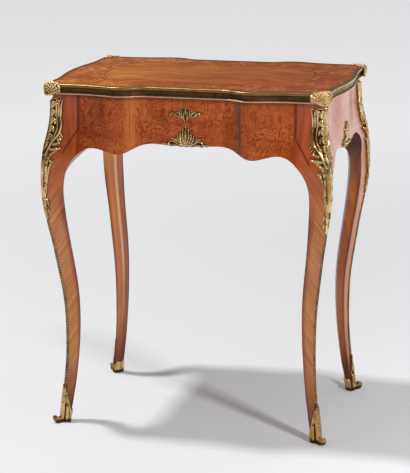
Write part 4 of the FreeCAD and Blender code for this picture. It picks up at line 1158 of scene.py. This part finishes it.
# The drawer's bronzes: an escutcheon of a shield with leafy wings round the keyhole, and a flame-like
# cartouche with two leaf arms along the lower edge, which serves to draw it by. Cast, gilt and pinned.
front_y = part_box("escutcheon")[1].y / MM
KEY_Z = 688.0
KEY_R = 2.0
KEY_SLOT = (1.1, 7.0)
SHIELD = [
    ("plate", [(0, 700), (0, 691), (0, 685)], (9, 7.5, 4), 1.2),
    ("plate", [(9, 693), (26, 695)], (3, 2), 1.0),
    ("leaf", [(0, 695), (0, 701), (0, 707)], (1.6, 2.6, 0.8), 4.6),
    ("leaf", [(1.6, 681), (3.6, 689), (3.4, 700)], (1.4, 2.5, 0.9), 4.8),
    ("leaf", [(3, 682), (8, 691), (8.6, 704)], (1.2, 2.3, 0.8), 4.4),
    ("leaf", [(5, 685), (12.2, 693), (14.4, 703)], (1.0, 2.3, 0.8), 4.0),
    ("rib", [(8, 688), (14, 689.5), (20, 692), (25, 696), (29.5, 697.5), (31.2, 694), (28.6, 691.5)],
     (1.4, 2.1, 2.4, 2.4, 2.0, 1.8, 1.4), 4.6),
    ("leaf", [(10, 693), (16, 697), (22, 700)], (1.2, 2.4, 0.9), 3.8),
    ("leaf", [(0, 684), (0, 682), (0, 679.5)], (2.4, 2.2, 0.8), 4.4),
]
CARTOUCHE = [
    ("plate", [(0, 657), (0, 647), (0, 638)], (9, 12.5, 11.5), 1.8),
    ("plate", [(8, 634), (24, 633), (40, 632)], (4, 4.5, 2), 1.4),
    ("leaf", [(0, 633), (0, 650), (0, 668)], (2.0, 3.6, 0.8), 5.8),
    ("leaf", [(2.8, 633), (6.6, 648), (5.4, 665)], (1.6, 3.0, 0.8), 5.4),
    ("leaf", [(5.5, 632), (12, 645), (11.4, 660)], (1.5, 3.0, 0.9), 5.2),
    ("leaf", [(8, 631), (16, 640), (17, 652)], (1.5, 2.8, 0.8), 4.8),
    ("rib", [(11, 630), (19, 634), (27, 638), (34, 637), (37, 632), (33, 628.5), (28, 630.5)],
     (1.6, 2.1, 2.4, 2.3, 2.0, 1.8, 1.4), 5.0),
    ("leaf", [(35, 631), (42, 630.5), (48, 632), (53.5, 633)], (2.0, 2.6, 1.9, 0.9), 4.0),
    ("leaf", [(19, 637), (26, 642), (34, 643)], (1.4, 2.6, 0.9), 4.2),
    ("rib", [(0, 631), (7, 629), (13, 628)], (2.0, 2.0, 1.4), 4.4), ("pearl", [(0, 630)], (3.0,), 5.0),
]


def on_drawer(a, b, rise):
    """A seat on the flat middle of the drawer front."""
    return a * MM, (front_y - rise) * MM, b * MM


def at_keyhole(a, b):
    """Where the keyhole is cut: its round eye and the slot below."""
    eye = np.hypot(a, b - KEY_Z) < KEY_R
    slot = (np.abs(a) < KEY_SLOT[0]) & (b < KEY_Z) & (b > KEY_Z - KEY_SLOT[1])
    return eye | slot


shield = cast("gilt_escutcheon", (-38, 667), (38, 709), 0.6, SHIELD, on_drawer, hole=at_keyhole)
stand_for(shield, "escutcheon", GILDING)
cartouche = cast("gilt_drawer_mount", (-56, 623), (56, 672), 0.7, CARTOUCHE, on_drawer)
stand_for(cartouche, "drawer_mount", GILDING)
coat_node("drawer_mount_pins", GILDING)

# The lock: a steel case let into the back of the drawer front and held by four screws, whose bolt rises
# into the top.
for node in ("lock_case", "lock_bolt", "lock_screws"):
    coat_node(node, STEEL)

# The studio: a pale floor without an edge, a soft light above on the left, a weaker one in front on the
# right, which casts the shadows of the front right leg and the two right shoes only, and a white card behind
# on the right. The camera stands where the photograph was taken.
FLOOR_SIZE = 80.0
PAPER_DARK = colour(229, 229, 231)
PAPER_LIGHT = colour(232, 232, 234)
BLACK = (0, 0, 0, 1)
WHITE = (1, 1, 1, 1)
FAR_FLOOR_LIGHT = 0.4           # glow of the paper far off, where the lights of the set don't reach
RIGHT_FLOOR_LIGHT = 0.21        # and to the right
SKY_LEFT = (0.08, 0.08, 0.08, 1.0)
SKY_RIGHT = (0.7, 0.7, 0.7, 1.0)
SKY_ABOVE = (0.98, 0.99, 1.0, 1.0)
SKY_STRENGTH = 0.46

bpy.ops.mesh.primitive_plane_add(size=FLOOR_SIZE)
floor = bpy.context.object
floor.name = "studio_floor"
paper, surface, place, (x, _, _) = new_material("floor_paper")
give(surface.inputs["Base Color"], mix(noise(place, 3.0, 3.0), PAPER_DARK, PAPER_LIGHT))
surface.inputs["Roughness"].default_value = 0.9
surface.inputs["Specular IOR Level"].default_value = 0.1
far = vector_calc("LENGTH", place, output="Value")
lit = limit(far, 0.5, 4.0, "SMOOTHSTEP") * FAR_FLOOR_LIGHT + limit(x, 0.1, 1.4) * RIGHT_FLOOR_LIGHT
give(surface.inputs["Emission Color"], mix(lit, BLACK, WHITE))
surface.inputs["Emission Strength"].default_value = 1.0
floor.data.materials.append(paper)

scene = bpy.context.scene
scene.view_settings.view_transform = "Standard"
sky = bpy.data.worlds.new("studio_sky")
scene.world = sky
sky.use_nodes = True
background = sky.node_tree.nodes["Background"]
to_right, _, height = split(Wire(add(sky.node_tree, "TexCoord").outputs["Generated"]))
walls = mix(limit(to_right, 0.1, 0.6), SKY_LEFT, SKY_RIGHT)
give(background.inputs["Color"], mix(limit(height, 0.28, 0.55, "SMOOTHSTEP"), walls, SKY_ABOVE))
background.inputs["Strength"].default_value = SKY_STRENGTH


def soft_light(name, place, aim, size, power):
    """A light from a bright rectangle, turned towards a place."""
    lamp = bpy.data.lights.new(name, "AREA")
    lamp.shape = "RECTANGLE"
    lamp.size, lamp.size_y = size
    lamp.energy = power
    light = bpy.data.objects.new(name, lamp)
    bpy.context.collection.objects.link(light)
    light.location = place
    light.rotation_euler = (Vector(aim) - Vector(place)).to_track_quat("-Z", "Y").to_euler()
    return light


soft_light("key_light", place=(-1.24, -0.05, 3.25), aim=(0, 0, 0.3), size=(0.24, 0.24), power=62)
fill = soft_light("fill_light", place=(1.76, -1.42, 2.2), aim=(0, 0, 0.4), size=(0.24, 0.24), power=32)
fill.light_linking.blocker_collection = bpy.data.collections.new("right_feet")
for piece in ("veneered_leg_front_right", "gilt_sabot_front_right", "gilt_sabot_back_right"):
    fill.light_linking.blocker_collection.objects.link(bpy.data.objects[piece])
card = soft_light("white_card", place=(0.95, 1.5, 0.45), aim=(0.3, 0.0, 0.66), size=(0.9, 1.1), power=2.2)
card.visible_diffuse = False

AZIMUTH = math.radians(15.29)
ELEVATION = math.radians(13.75)
ROLL = math.radians(-0.32)
TARGET = Vector((0, 0, 0.375))
DISTANCE = 4.237
FRAME_LONG = 473.0              # pixels
FOCAL_PIXELS = 1922.5
OFF_CENTRE = (5.6, 6.5)         # of the target in the picture, right and down, in pixels
SENSOR = 36.0

level = Vector((math.cos(AZIMUTH), math.sin(AZIMUTH), 0))
flat_back = Vector((math.sin(AZIMUTH), -math.cos(AZIMUTH), 0))
back = flat_back * math.cos(ELEVATION) + Vector((0, 0, math.sin(ELEVATION)))
upright = back.cross(level)
right = level * math.cos(ROLL) + upright * math.sin(ROLL)
up = upright * math.cos(ROLL) - level * math.sin(ROLL)
lens = bpy.data.cameras.new("photo_camera")
camera = bpy.data.objects.new("photo_camera", lens)
bpy.context.collection.objects.link(camera)
turn = Matrix((right, up, back)).transposed().to_4x4()
camera.matrix_world = Matrix.Translation(TARGET + back * DISTANCE) @ turn
lens.sensor_width = SENSOR
lens.lens = FOCAL_PIXELS / FRAME_LONG * SENSOR
lens.shift_x = -OFF_CENTRE[0] / FRAME_LONG
lens.shift_y = OFF_CENTRE[1] / FRAME_LONG
lens.clip_end = 100
scene.camera = camera
